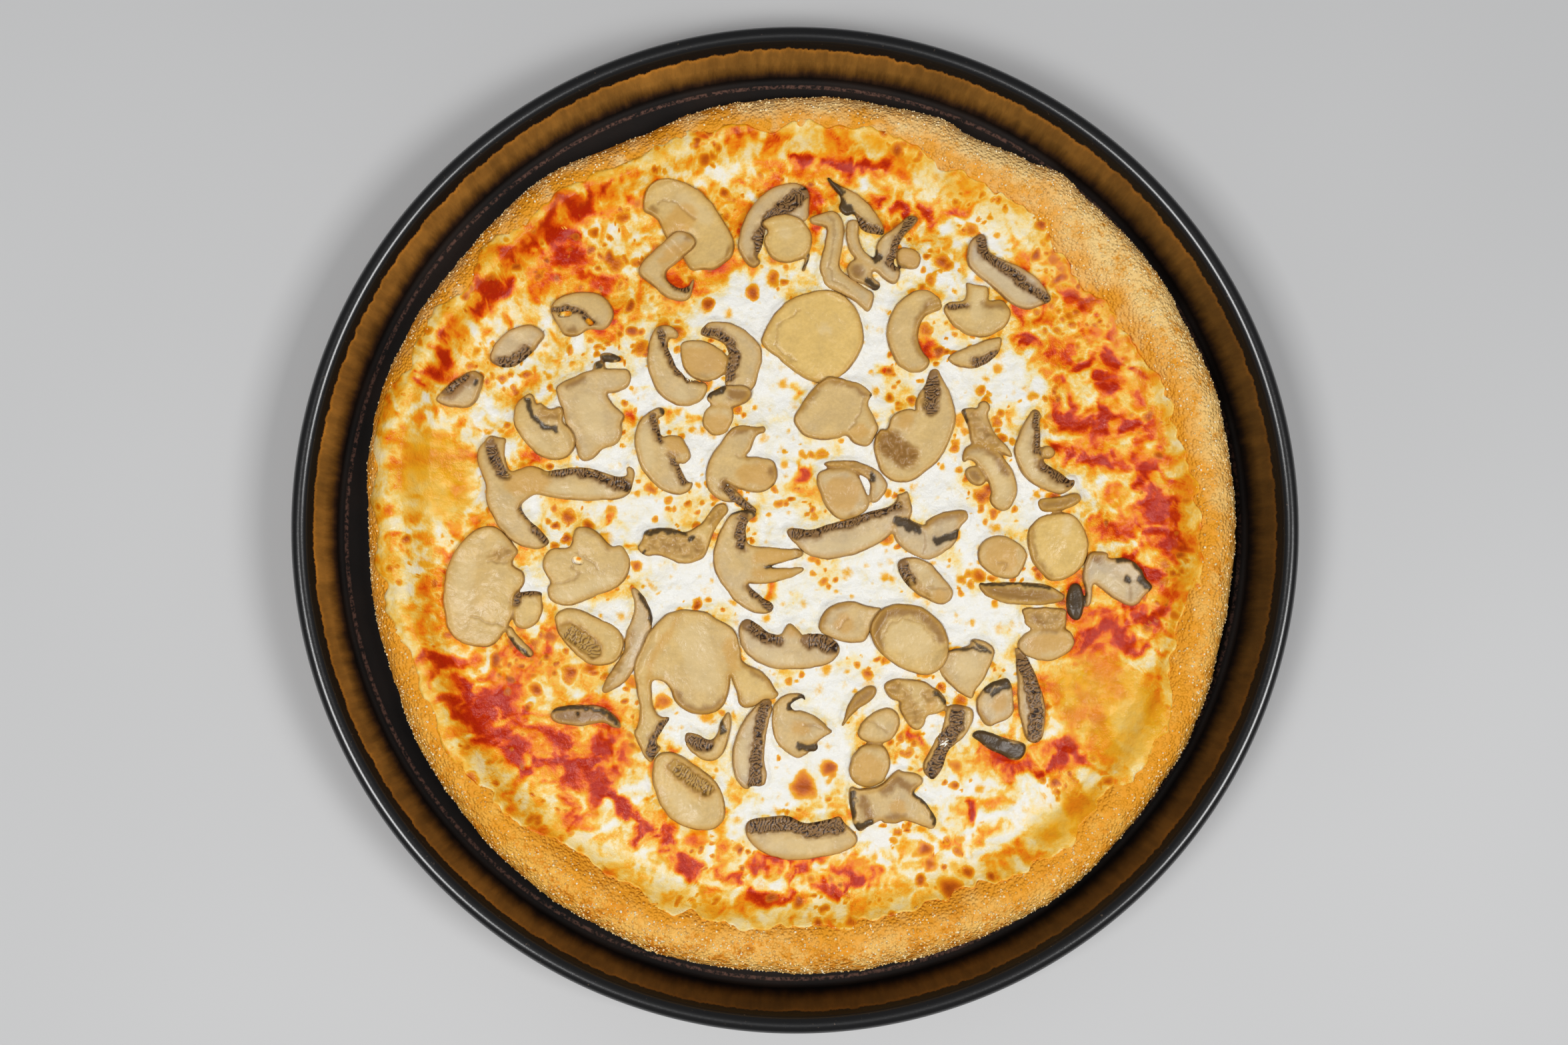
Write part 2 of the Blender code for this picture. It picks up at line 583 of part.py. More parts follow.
def carve(name, first, others, cutters):
    """Union one lobe with its others, then trim it with the cutters."""
    work = helper(first)
    tools = [(helper(mesh), "UNION") for mesh in others]
    tools += [(helper(mesh), "DIFFERENCE") for mesh in cutters]
    for i, (tool, operation) in enumerate(tools):
        cut = work.modifiers.new(f"{operation.lower()}_{i}", "BOOLEAN")
        cut.operation = operation
        cut.solver = "EXACT"
        cut.object = tool
    evaluated = work.evaluated_get(bpy.context.evaluated_depsgraph_get())
    result = bpy.data.meshes.new_from_object(evaluated)
    result.name = name
    for used in [work] + [tool for tool, _ in tools]:
        bpy.data.objects.remove(used, do_unlink=True)
    return result


def islands(shell):
    left = set(shell.faces)
    found = []
    while left:
        patch = {left.pop()}
        edge_faces = list(patch)
        while edge_faces:
            face = edge_faces.pop()
            for edge in face.edges:
                for other in edge.link_faces:
                    if other in left:
                        left.remove(other)
                        patch.add(other)
                        edge_faces.append(other)
        found.append(patch)
    return found


def skin_area(patch):
    return sum(face.calc_area() for face in patch)


def drop_scraps(mesh):
    """Weld near-double points, and keep the one body that a trimmed slice should be."""
    shell = bmesh.new()
    shell.from_mesh(mesh)
    bmesh.ops.remove_doubles(shell, verts=shell.verts, dist=WELD_DISTANCE)
    bmesh.ops.dissolve_degenerate(shell, edges=shell.edges, dist=SLIVER)
    patches = sorted(islands(shell), key=skin_area)
    for patch in patches[:-1]:
        if skin_area(patch) > SCRAP_SHARE * skin_area(patches[-1]):
            raise ValueError(f"{mesh.name} came apart")
        bmesh.ops.delete(shell, geom=list(patch), context="FACES")
    shell.to_mesh(mesh)
    shell.free()
    return mesh


def build_slices(finishes):
    names = list(SLICES)
    for order, name in enumerate(names):
        forms = SLICES[name]
        base = lay_height(forms)
        lobes = []
        for i, form in enumerate(forms):
            drop = SLICE_STEP_DOWN * i
            lobes.append(slab(f"{name}_lobe_{i}", form, base + drop / 2, SLICE_THICKNESS - drop))
        cutters = []
        for later in names[order + 1:]:
            if apart(forms, SLICES[later]):
                continue
            cutters += [cutter(f"{later}_cutter", form, base) for form in SLICES[later]]
        mesh = drop_scraps(carve(name, lobes[0], lobes[1:], cutters))
        add_object(name, mesh, finishes["mushroom"], sharp_degrees=60)


def main():
    clear_scene()
    finishes = make_finishes()
    build_pan(finishes)
    build_dough(finishes)
    build_sauce(finishes)
    build_cheese(finishes)
    build_slices(finishes)


main()
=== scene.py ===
import itertools
import math

import bpy
import numpy as np
from mathutils import Matrix, Vector


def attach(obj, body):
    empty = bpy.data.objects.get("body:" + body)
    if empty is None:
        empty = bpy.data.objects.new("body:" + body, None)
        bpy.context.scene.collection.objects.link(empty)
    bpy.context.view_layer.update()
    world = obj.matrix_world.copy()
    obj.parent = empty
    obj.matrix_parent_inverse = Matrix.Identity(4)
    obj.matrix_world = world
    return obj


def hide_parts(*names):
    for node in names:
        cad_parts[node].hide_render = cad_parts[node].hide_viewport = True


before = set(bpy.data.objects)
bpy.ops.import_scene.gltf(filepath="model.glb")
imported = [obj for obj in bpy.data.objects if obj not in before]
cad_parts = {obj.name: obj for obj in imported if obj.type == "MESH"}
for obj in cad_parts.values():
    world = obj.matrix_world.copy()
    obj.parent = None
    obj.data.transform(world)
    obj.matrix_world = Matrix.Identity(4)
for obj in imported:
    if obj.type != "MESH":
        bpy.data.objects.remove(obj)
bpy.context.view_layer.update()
mm = 0.001
print("frame loaded:", len(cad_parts), "nodes")


# Patterns and outlines, in millimetres on the pizza's top

def smoothStep(low, high, value):          # 0 at low, 1 at high, eased between
    share = np.clip((value - low) / (high - low), 0.0, 1.0)
    return share * share * (3 - 2 * share)


def cellNumber(cells, seed):               # one fixed random number from -1 to 1 for each cell
    mixed = np.full(np.shape(cells[0]), seed * 7919 + 17, dtype=np.int64)
    for cell, factor in zip(cells, (374761393, 668265263, 1442695041)):
        mixed = mixed + cell.astype(np.int64) * factor
    mixed = mixed & 0xFFFFFFFF
    mixed = ((mixed ^ (mixed >> 13)) * 1274126177) & 0xFFFFFFFF
    mixed = ((mixed ^ (mixed >> 16)) * 1103515245) & 0xFFFFFFFF
    return (mixed ^ (mixed >> 15)) / 2147483648.0 - 1


def softNoise(coords, size, seed):         # smooth lumps of one size, about -1 to 1
    scaled = [c / size + 0.37 * seed for c in coords]
    cells = [np.floor(c) for c in scaled]
    eased = [smoothStep(0, 1, c - cell) for c, cell in zip(scaled, cells)]
    total = 0.0
    for corner in itertools.product((0, 1), repeat=len(coords)):
        weight = 1.0
        for share, side in zip(eased, corner):
            weight = weight * (share if side else 1 - share)
        total = total + weight * cellNumber([cell + side for cell, side in zip(cells, corner)], seed)
    return total


def layeredNoise(coords, size, layers, seed):   # lumps with finer lumps on them
    turned = list(coords)
    total, strength = 0.0, 1.0
    for layer in range(layers):
        total = total + strength * softNoise(turned, size, seed + layer)
        turned[0], turned[1] = 0.8 * turned[0] - 0.6 * turned[1], 0.6 * turned[0] + 0.8 * turned[1]
        size, strength = size * 0.5, strength * 0.55
    return total


def pairs(flat):
    return list(zip(flat[::2], flat[1::2]))


def strokeReach(x, y, points):             # distance to a line through the points, and how far along it
    if len(points) == 1:
        away = np.hypot(x - points[0][0], y - points[0][1])
        return away, np.degrees(np.arctan2(y - points[0][1], x - points[0][0])) / 30
    best = np.full(np.shape(x), 1e9)
    along = np.zeros(np.shape(x))
    start = 0.0
    for (x0, y0), (x1, y1) in zip(points, points[1:]):
        length = math.hypot(x1 - x0, y1 - y0)
        ux, uy = (x1 - x0) / length, (y1 - y0) / length
        passed = np.clip((x - x0) * ux + (y - y0) * uy, 0, length)
        away = np.hypot(x - x0 - passed * ux, y - y0 - passed * uy)
        along = np.where(away < best, start + passed, along)
        best = np.minimum(away, best)
        start += length
    return best, along


def arcPoints(x0, y0, x1, y1, x2, y2, count=9):    # points on the circle through three points
    ax, ay, bx, by = x0 - x2, y0 - y2, x1 - x2, y1 - y2
    cross = 2 * (ax * by - ay * bx)
    if abs(cross) < 1e-6:
        return [(x0, y0), (x1, y1), (x2, y2)]
    aa, bb = ax * ax + ay * ay, bx * bx + by * by
    cx, cy = x2 + (by * aa - ay * bb) / cross, y2 + (ax * bb - bx * aa) / cross
    turns = [math.atan2(y - cy, x - cx) for x, y in ((x0, y0), (x1, y1), (x2, y2))]
    sweep = sum((b - a + math.pi) % (2 * math.pi) - math.pi for a, b in zip(turns, turns[1:]))
    radius = math.hypot(x0 - cx, y0 - cy)
    steps = [turns[0] + sweep * i / (count - 1) for i in range(count)]
    return [(cx + radius * math.cos(t), cy + radius * math.sin(t)) for t in steps]


def loopField(x, y, points):               # mm from a closed outline with rounded corners, negative inside
    points = np.array(points, float)
    for cut in range(2):
        ahead = np.roll(points, -1, 0)
        points = np.stack([0.75 * points + 0.25 * ahead, 0.25 * points + 0.75 * ahead], 1).reshape(-1, 2)
    stepX, stepY = (np.roll(points, -1, 0) - points).T
    u, v = x[..., None] - points[:, 0], y[..., None] - points[:, 1]
    passed = np.clip((u * stepX + v * stepY) / (stepX ** 2 + stepY ** 2), 0, 1)
    away = np.hypot(u - passed * stepX, v - passed * stepY).min(-1)
    crossed = ((v < 0) != (v < stepY)) & ((u * stepY - v * stepX) * np.sign(stepY) < 0)
    return np.where(crossed.sum(-1) % 2 == 1, -away, away)


def lobeField(x, y, lobe):                 # negative inside the lobe, in mm from its edge
    kind, *sizes = lobe
    if kind == "shape":
        return loopField(x, y, pairs(sizes))
    if kind == "disc":
        cx, cy, halfLong, halfWide, turn = sizes
        spin = math.radians(turn)
        u = (x - cx) * math.cos(spin) + (y - cy) * math.sin(spin)
        v = (y - cy) * math.cos(spin) - (x - cx) * math.sin(spin)
        reach = np.hypot(u / halfLong, v / halfWide)
        slope = np.hypot(u / halfLong ** 2, v / halfWide ** 2)
        return reach * (reach - 1) / np.maximum(slope, 1e-6) - 1e-9
    if kind == "bar":
        return strokeReach(x, y, pairs(sizes[:4]))[0] - sizes[4] / 2
    return strokeReach(x, y, arcPoints(*sizes[:6]))[0] - sizes[6] / 2


def softUnion(first, second, blend):
    share = np.clip(0.5 + 0.5 * (second - first) / blend, 0, 1)
    return second * (1 - share) + first * share - blend * share * (1 - share)


def spotField(x, y, cell, chance, smallest, largest, seed):    # scattered round spots
    x = x + 0.9 * softNoise((x, y), 2.6, seed + 5)
    y = y + 0.9 * softNoise((x, y), 2.6, seed + 6)
    column, row = np.floor(x / cell), np.floor(y / cell)
    best = np.zeros(np.shape(x))
    for stepX, stepY in itertools.product((-1, 0, 1), repeat=2):
        place = [column + stepX, row + stepY]
        cx = (place[0] + 0.5 + 0.42 * cellNumber(place, seed)) * cell
        cy = (place[1] + 0.5 + 0.42 * cellNumber(place, seed + 1)) * cell
        size = smallest + (largest - smallest) * (0.5 + 0.5 * cellNumber(place, seed + 2)) ** 2
        there = cellNumber(place, seed + 3) * 0.5 + 0.5 < chance
        depth = 0.8 + 0.2 * cellNumber(place, seed + 4)
        inside = depth * smoothStep(1.35, 0.05, np.hypot(x - cx, y - cy) / size)
        best = np.maximum(best, np.where(there, inside, 0))
    return best


# Meshes

def addObject(name, data):
    added = bpy.data.objects.new(name, data)
    bpy.context.scene.collection.objects.link(added)
    return added


def newPiece(name, mesh, material, slotName, *nodes):      # a finished piece, in place of the nodes
    mesh.polygons.foreach_set("use_smooth", [True] * len(mesh.polygons))
    mesh.materials.clear()
    mesh.materials.append(material)
    piece = addObject(name, mesh)
    if nodes:
        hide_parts(*nodes)
    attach(piece, "root")
    return piece


def writeMarks(mesh, marks):               # one number for each point, for the materials to read
    for name, values in marks.items():
        layer = mesh.attributes.new(name, "FLOAT", "POINT")
        layer.data.foreach_set("value", np.asarray(values, dtype=np.float32))


def meshOf(name, points, faces):
    mesh = bpy.data.meshes.new(name)
    mesh.from_pydata(np.asarray(points).tolist(), [], faces)
    mesh.update()
    return mesh


def ringMesh(name, rings, firstHub, lastHub):      # skins rings of points, with a middle point at each end
    count = rings.shape[1]
    points = np.vstack([rings.reshape(-1, 3), [firstHub, lastHub]])
    here = np.arange(count)
    ahead = np.roll(here, -1)
    faces = []
    for row in range(len(rings) - 1):
        low, high = row * count, (row + 1) * count
        faces += np.stack([low + here, low + ahead, high + ahead, high + here], 1).tolist()
    hubs = len(points) - 2
    faces += np.stack([ahead, here, np.full(count, hubs)], 1).tolist()
    top = (len(rings) - 1) * count
    faces += np.stack([top + here, top + ahead, np.full(count, hubs + 1)], 1).tolist()
    return meshOf(name, points, faces)


def tidyCells(kept, share):                # fills corner-to-corner touches and drops small scraps
    for turn in range(20):
        a, b, c, d = kept[:-1, :-1], kept[1:, :-1], kept[1:, 1:], kept[:-1, 1:]
        rising = a & c & ~b & ~d
        falling = b & d & ~a & ~c
        if not (rising.any() or falling.any()):
            break
        kept[1:, :-1] |= rising
        kept[:-1, :-1] |= falling
    left = set(zip(*np.nonzero(kept)))
    patches = []
    while left:
        patch = [left.pop()]
        for i, j in patch:
            for near in ((i + 1, j), (i - 1, j), (i, j + 1), (i, j - 1)):
                if near in left:
                    left.remove(near)
                    patch.append(near)
        patches.append(patch)
    largest = max(len(patch) for patch in patches)
    for patch in patches:
        if len(patch) < share * largest:
            for i, j in patch:
                kept[i, j] = False
    return kept


def sheetCells(outline, box, step, share):     # grid cells inside an outline, with a smooth edge
    gridX, gridY = np.meshgrid(np.arange(box[0] - 3 * step, box[2] + 3 * step, step),
                               np.arange(box[1] - 3 * step, box[3] + 3 * step, step), indexing="ij")
    kept = outline(gridX[:-1, :-1] + step / 2, gridY[:-1, :-1] + step / 2) < 0
    kept = tidyCells(kept, share)
    touched = np.zeros(gridX.shape, int)
    for i, j in itertools.product((0, 1), repeat=2):
        touched[i:gridX.shape[0] - 1 + i, j:gridX.shape[1] - 1 + j] += kept
    used = touched > 0
    x, y = gridX[used].copy(), gridY[used].copy()
    rim = touched[used] < 4
    startX, startY = x[rim], y[rim]
    rimX, rimY = startX.copy(), startY.copy()
    for turn in range(3):
        value = outline(rimX, rimY)
        slopeX = (outline(rimX + 0.05, rimY) - outline(rimX - 0.05, rimY)) * 10
        slopeY = (outline(rimX, rimY + 0.05) - outline(rimX, rimY - 0.05)) * 10
        steep = np.maximum(slopeX ** 2 + slopeY ** 2, 0.25)
        rimX = startX + np.clip(rimX - value * slopeX / steep - startX, -0.7 * step, 0.7 * step)
        rimY = startY + np.clip(rimY - value * slopeY / steep - startY, -0.7 * step, 0.7 * step)
    x[rim], y[rim] = rimX, rimY
    number = np.full(gridX.shape, -1)
    number[used] = np.arange(len(x))
    return x, y, kept, number


def cellEdges(kept, number):               # the directed edges round the outline
    padded = np.pad(kept, 1)
    i, j = np.nonzero(kept)
    corner = [number[i, j], number[i + 1, j], number[i + 1, j + 1], number[i, j + 1]]
    beyond = [padded[i + 1, j], padded[i + 2, j + 1], padded[i + 1, j + 2], padded[i, j + 1]]
    edges = [np.stack([corner[k][~beyond[k]], corner[(k + 1) % 4][~beyond[k]]], 1) for k in range(4)]
    return np.stack(corner, 1), np.vstack(edges)


def slabMesh(name, x, y, kept, number, top, bottom):   # a closed sheet with cells on both sides
    quads, edges = cellEdges(kept, number)
    count = len(x)
    points = np.vstack([np.stack([x, y, top], 1), np.stack([x, y, bottom], 1)]) * mm
    walls = np.stack([edges[:, 0], edges[:, 0] + count, edges[:, 1] + count, edges[:, 1]], 1)
    return meshOf(name, points, quads.tolist() + (quads[:, ::-1] + count).tolist() + walls.tolist())


def basedMesh(name, x, y, kept, number, top, depth):   # a closed sheet with one flat face below it
    quads, edges = cellEdges(kept, number)
    after = dict(edges.tolist())
    loop = [edges[0][0]]
    while after[loop[-1]] != loop[0]:
        loop.append(after[loop[-1]])
    if len(loop) != len(edges):
        raise ValueError(name + " has a hole, which a flat base can't close")
    count = len(x)
    below = np.stack([x[loop], y[loop], np.full(len(loop), depth)], 1)
    points = np.vstack([np.stack([x, y, top], 1), below]) * mm
    low = {vertex: count + i for i, vertex in enumerate(loop)}
    walls = [(a, low[a], low[b], b) for a, b in edges.tolist()]
    return meshOf(name, points, quads.tolist() + walls + [[low[v] for v in reversed(loop)]])


# Shader helpers

def paint(code):                           # a colour as on a paint chart, made linear
    channels = [int(code[i:i + 2], 16) / 255 for i in (0, 2, 4)]
    return tuple(c / 12.92 if c < 0.04045 else ((c + 0.055) / 1.055) ** 2.4 for c in channels) + (1.0,)


def feed(tree, socket, value):
    if isinstance(value, bpy.types.NodeSocket):
        tree.links.new(value, socket)
    else:
        socket.default_value = value


def place(tree, kind, sockets=None, **settings):
    node = tree.nodes.new(kind)
    for name, value in settings.items():
        setattr(node, name, value)
    for name, value in (sockets or {}).items():
        feed(tree, node.inputs[name], value)
    return node


def maths(tree, operation, first, second=0.0):
    return place(tree, "ShaderNodeMath", {0: first, 1: second}, operation=operation).outputs[0]


def plus(tree, first, second):
    return maths(tree, "ADD", first, second)


def times(tree, first, second):
    return maths(tree, "MULTIPLY", first, second)


def centred(tree, value, reach):           # a pattern from 0 to 1, made to swing round 0
    return times(tree, maths(tree, "SUBTRACT", value, 0.5), reach)


def blend(tree, share, first, second, mode="MIX"):
    return place(tree, "ShaderNodeMix", {0: share, 6: first, 7: second}, data_type="RGBA",
                 blend_type=mode).outputs[2]


def between(tree, value, low, high, toLow=0.0, toHigh=1.0):
    node = place(tree, "ShaderNodeMapRange", {0: value, 1: low, 2: high, 3: toLow, 4: toHigh},
                 interpolation_type="SMOOTHSTEP")
    return node.outputs[0]


def noise(tree, where, size, detail=2.0, roughness=0.5):       # lumps of a size in metres
    node = place(tree, "ShaderNodeTexNoise", {"Vector": where, "Scale": 1 / size, "Detail": detail,
                                              "Roughness": roughness})
    return node.outputs["Fac"]


def ramp(tree, share, stops):
    node = place(tree, "ShaderNodeValToRGB", {"Fac": share})
    steps = node.color_ramp.elements
    steps.remove(steps[1])
    steps[0].position, steps[0].color = stops[0][0], paint(stops[0][1])
    for position, code in stops[1:]:
        steps.new(position).color = paint(code)
    return node.outputs["Color"]


def mark(tree, name):
    return place(tree, "ShaderNodeAttribute", attribute_name=name).outputs["Fac"]


def newMaterial(name, roughness=0.5, specular=0.5):
    material = bpy.data.materials.new(name)
    material.use_nodes = True
    tree = material.node_tree
    shader = tree.nodes["Principled BSDF"]
    shader.inputs["Roughness"].default_value = roughness
    shader.inputs["Specular IOR Level"].default_value = specular
    where = place(tree, "ShaderNodeTexCoord").outputs["Object"]
    return material, tree, shader, where


def bumpInto(tree, shader, height, distance, strength=1.0):
    bump = place(tree, "ShaderNodeBump", {"Height": height, "Distance": distance, "Strength": strength})
    tree.links.new(bump.outputs["Normal"], shader.inputs["Normal"])


def newGroup(name, kind, sockets, results):
    tree = bpy.data.node_groups.new(name, kind)
    for label, socketType, value in sockets:
        socket = tree.interface.new_socket(label, in_out="INPUT", socket_type=socketType)
        if value is not None:
            socket.default_value = value
    for label, socketType in results:
        tree.interface.new_socket(label, in_out="OUTPUT", socket_type=socketType)
    return tree, tree.nodes.new("NodeGroupInput").outputs, tree.nodes.new("NodeGroupOutput")


def endTree(tree, result, geometry, finish):       # a plain mesh with its material, as the export needs
    plain = place(tree, "GeometryNodeRealizeInstances", {"Geometry": geometry})
    done = place(tree, "GeometryNodeSetMaterial", {"Geometry": plain.outputs[0], "Material": finish})
    feed(tree, result.inputs[0], done.outputs[0])


def moistMottle():                         # uneven shade and fine relief of moist flesh
    tree, given, result = newGroup(
        "moistMottle", "ShaderNodeTree",
        [("Vector", "NodeSocketVector", None), ("Size", "NodeSocketFloat", 0.003),
         ("Contrast", "NodeSocketFloat", 0.2)],
        [("Shade", "NodeSocketFloat"), ("Height", "NodeSocketFloat")])
    scale = maths(tree, "DIVIDE", 1.0, given["Size"])
    lumps = place(tree, "ShaderNodeTexNoise", {"Vector": given["Vector"], "Scale": scale, "Detail": 4.0,
                                               "Roughness": 0.6}).outputs["Fac"]
    spread = centred(tree, lumps, given["Contrast"])
    feed(tree, result.inputs["Shade"], plus(tree, spread, 1.0))
    feed(tree, result.inputs["Height"], lumps)
    return tree


mottleGroup = moistMottle()


def mottle(tree, where, size, contrast):
    node = place(tree, "ShaderNodeGroup", node_tree=mottleGroup)
    feed(tree, node.inputs["Vector"], where)
    node.inputs["Size"].default_value = size
    node.inputs["Contrast"].default_value = contrast
    return node.outputs["Shade"], node.outputs["Height"]


def shaded(tree, colour, shade):           # a colour made lighter or darker by a number near 1
    grey = place(tree, "ShaderNodeCombineColor", {0: shade, 1: shade, 2: shade}).outputs[0]
    return blend(tree, 1.0, colour, grey, "MULTIPLY")


# Pan: a turned steel wall with a rolled bead

pan = {
    "outerRadius": 184.0, "height": 39.85, "beadRadius": 3.25, "sheet": 1.4,
    "footRadius": 173.4, "neckRadius": 177.2, "neckHeight": 33.0, "corner": 2.0,
    "segments": 420, "beadSteps": 30, "wallSteps": 12, "cornerSteps": 6,
    "outerCorner": 2.2, "outerWallSteps": 8, "outerCornerSteps": 5,
    # radii and heights where the finish changes, in metres
    "outsideFrom": (0.1779, 0.1783), "floorBelow": (0.0042, 0.0022),
    "scratchInner": (0.1692, 0.1699), "scratchOuter": (0.1712, 0.1705),
    "beadBlack": "0b0a0a", "chip": "6f5f50", "floorBlack": "0c0705", "floorBrown": "1c110a",
    "scratch": "7a5648",
    # the wall, inside and outside, from the floor up to the bead
    "wallColours": [(0.0, "0c0705"), (0.10, "1c1008"), (0.2, "3a2412"), (0.34, "684618"), (0.58, "8e6428"),
                    (0.84, "8e6428"), (0.93, "a87228"), (0.97, "2a1708"), (1.0, "0b0a0a")],
    # sizes of the patterns, in metres
    "streakSize": 0.0035, "cloudSize": 0.03, "speckleSize": 0.0016,
}


def arcRun(cx, cz, radius, start, sweep, steps):       # points along a turn, in degrees
    turns = [math.radians(start + sweep * i / steps) for i in range(steps + 1)]
    return [(cx + radius * math.cos(turn), cz + radius * math.sin(turn)) for turn in turns]


def panProfile():                          # from the middle of the floor, over the bead and back underneath
    bead = pan["beadRadius"]
    beadX, beadZ = pan["outerRadius"] - bead, pan["height"] - bead
    corner, sheet, foot, neck = pan["corner"], pan["sheet"], pan["footRadius"], pan["neckRadius"]
    profile = [(0.0, sheet), (60.0, sheet), (120.0, sheet), (155.0, sheet)]
    profile += arcRun(foot - corner, sheet + corner, corner, -90, 90, pan["cornerSteps"])
    for i in range(1, pan["wallSteps"] + 1):
        share = i / pan["wallSteps"]
        low = sheet + corner
        profile.append((foot + (neck - foot) * share, low + (pan["neckHeight"] - low) * share))
    profile += arcRun(beadX, beadZ, bead, 186, -276, pan["beadSteps"] - 1)
    profile.append((neck + sheet + 0.5, pan["neckHeight"] - sheet + 0.5))
    profile.append((neck + sheet - 0.1, pan["neckHeight"] - sheet - 1.5))
    outer = pan["outerCorner"]
    for i in range(1, pan["outerWallSteps"] + 1):
        share = i / pan["outerWallSteps"]
        height = (pan["neckHeight"] - 3) * (1 - share) + outer * share
        profile.append((neck + sheet - (neck - foot) * share, height))
    profile += arcRun(foot - 0.8, outer, outer, 0, -90, pan["outerCornerSteps"])[1:]
    profile += [(155.0, 0.0), (80.0, 0.0), (0.0, 0.0)]
    return profile


def latheTree():                           # turns a profile, drawn in X and Z, round the upright axis
    tree, given, result = newGroup(
        "turnedProfile", "GeometryNodeTree",
        [("Geometry", "NodeSocketGeometry", None), ("Segments", "NodeSocketInt", 64),
         ("Profile Points", "NodeSocketInt", 8), ("Finish", "NodeSocketMaterial", None)],
        [("Geometry", "NodeSocketGeometry")])
    across = plus(tree, given["Segments"], 1.0)
    grid = place(tree, "GeometryNodeMeshGrid", {"Size X": 1.0, "Size Y": 1.0, "Vertices X": across,
                                                "Vertices Y": given["Profile Points"]})
    spot = place(tree, "ShaderNodeSeparateXYZ", {0: place(tree, "GeometryNodeInputPosition").outputs[0]})
    turn = times(tree, plus(tree, spot.outputs["X"], 0.5), 2 * math.pi)
    last = maths(tree, "SUBTRACT", given["Profile Points"], 1.0)
    row = maths(tree, "ROUND", times(tree, plus(tree, spot.outputs["Y"], 0.5), last))
    sample = place(tree, "GeometryNodeSampleIndex", data_type="FLOAT_VECTOR")
    feed(tree, sample.inputs["Geometry"], given["Geometry"])
    feed(tree, sample.inputs["Value"], place(tree, "GeometryNodeInputPosition").outputs[0])
    feed(tree, sample.inputs["Index"], row)
    drawn = place(tree, "ShaderNodeSeparateXYZ", {0: sample.outputs[0]})
    x = times(tree, drawn.outputs["X"], maths(tree, "COSINE", turn))
    y = times(tree, drawn.outputs["X"], maths(tree, "SINE", turn))
    target = place(tree, "ShaderNodeCombineXYZ", {0: x, 1: y, 2: drawn.outputs["Z"]}).outputs[0]
    moved = place(tree, "GeometryNodeSetPosition", {"Geometry": grid.outputs["Mesh"], "Position": target})
    closed = place(tree, "GeometryNodeMergeByDistance", {"Geometry": moved.outputs[0], "Distance": 1e-6})
    endTree(tree, result, closed.outputs[0], given["Finish"])
    return tree


def meshFromTree(name, source, tree, values):      # runs a tree on an object, and gives its plain mesh
    modifier = source.modifiers.new(name, "NODES")
    modifier.node_group = tree
    for item in tree.interface.items_tree:
        if item.in_out == "INPUT" and item.name in values:
            modifier[item.identifier] = values[item.name]
    bpy.context.view_layer.update()
    evaluated = source.evaluated_get(bpy.context.evaluated_depsgraph_get())
    mesh = bpy.data.meshes.new_from_object(evaluated)
    mesh.name = name
    source.modifiers.remove(modifier)
    return mesh


def faceOutward(mesh):                     # flips a closed mesh that is inside out
    mesh.calc_loop_triangles()
    points = np.empty(len(mesh.vertices) * 3)
    mesh.vertices.foreach_get("co", points)
    points = points.reshape(-1, 3)
    corners = np.empty(len(mesh.loop_triangles) * 3, int)
    mesh.loop_triangles.foreach_get("vertices", corners)
    a, b, c = (points[corners.reshape(-1, 3)[:, k]] for k in range(3))
    volume = np.einsum("ij,ij->", a, np.cross(b, c))
    if volume < 0:
        mesh.flip_normals()


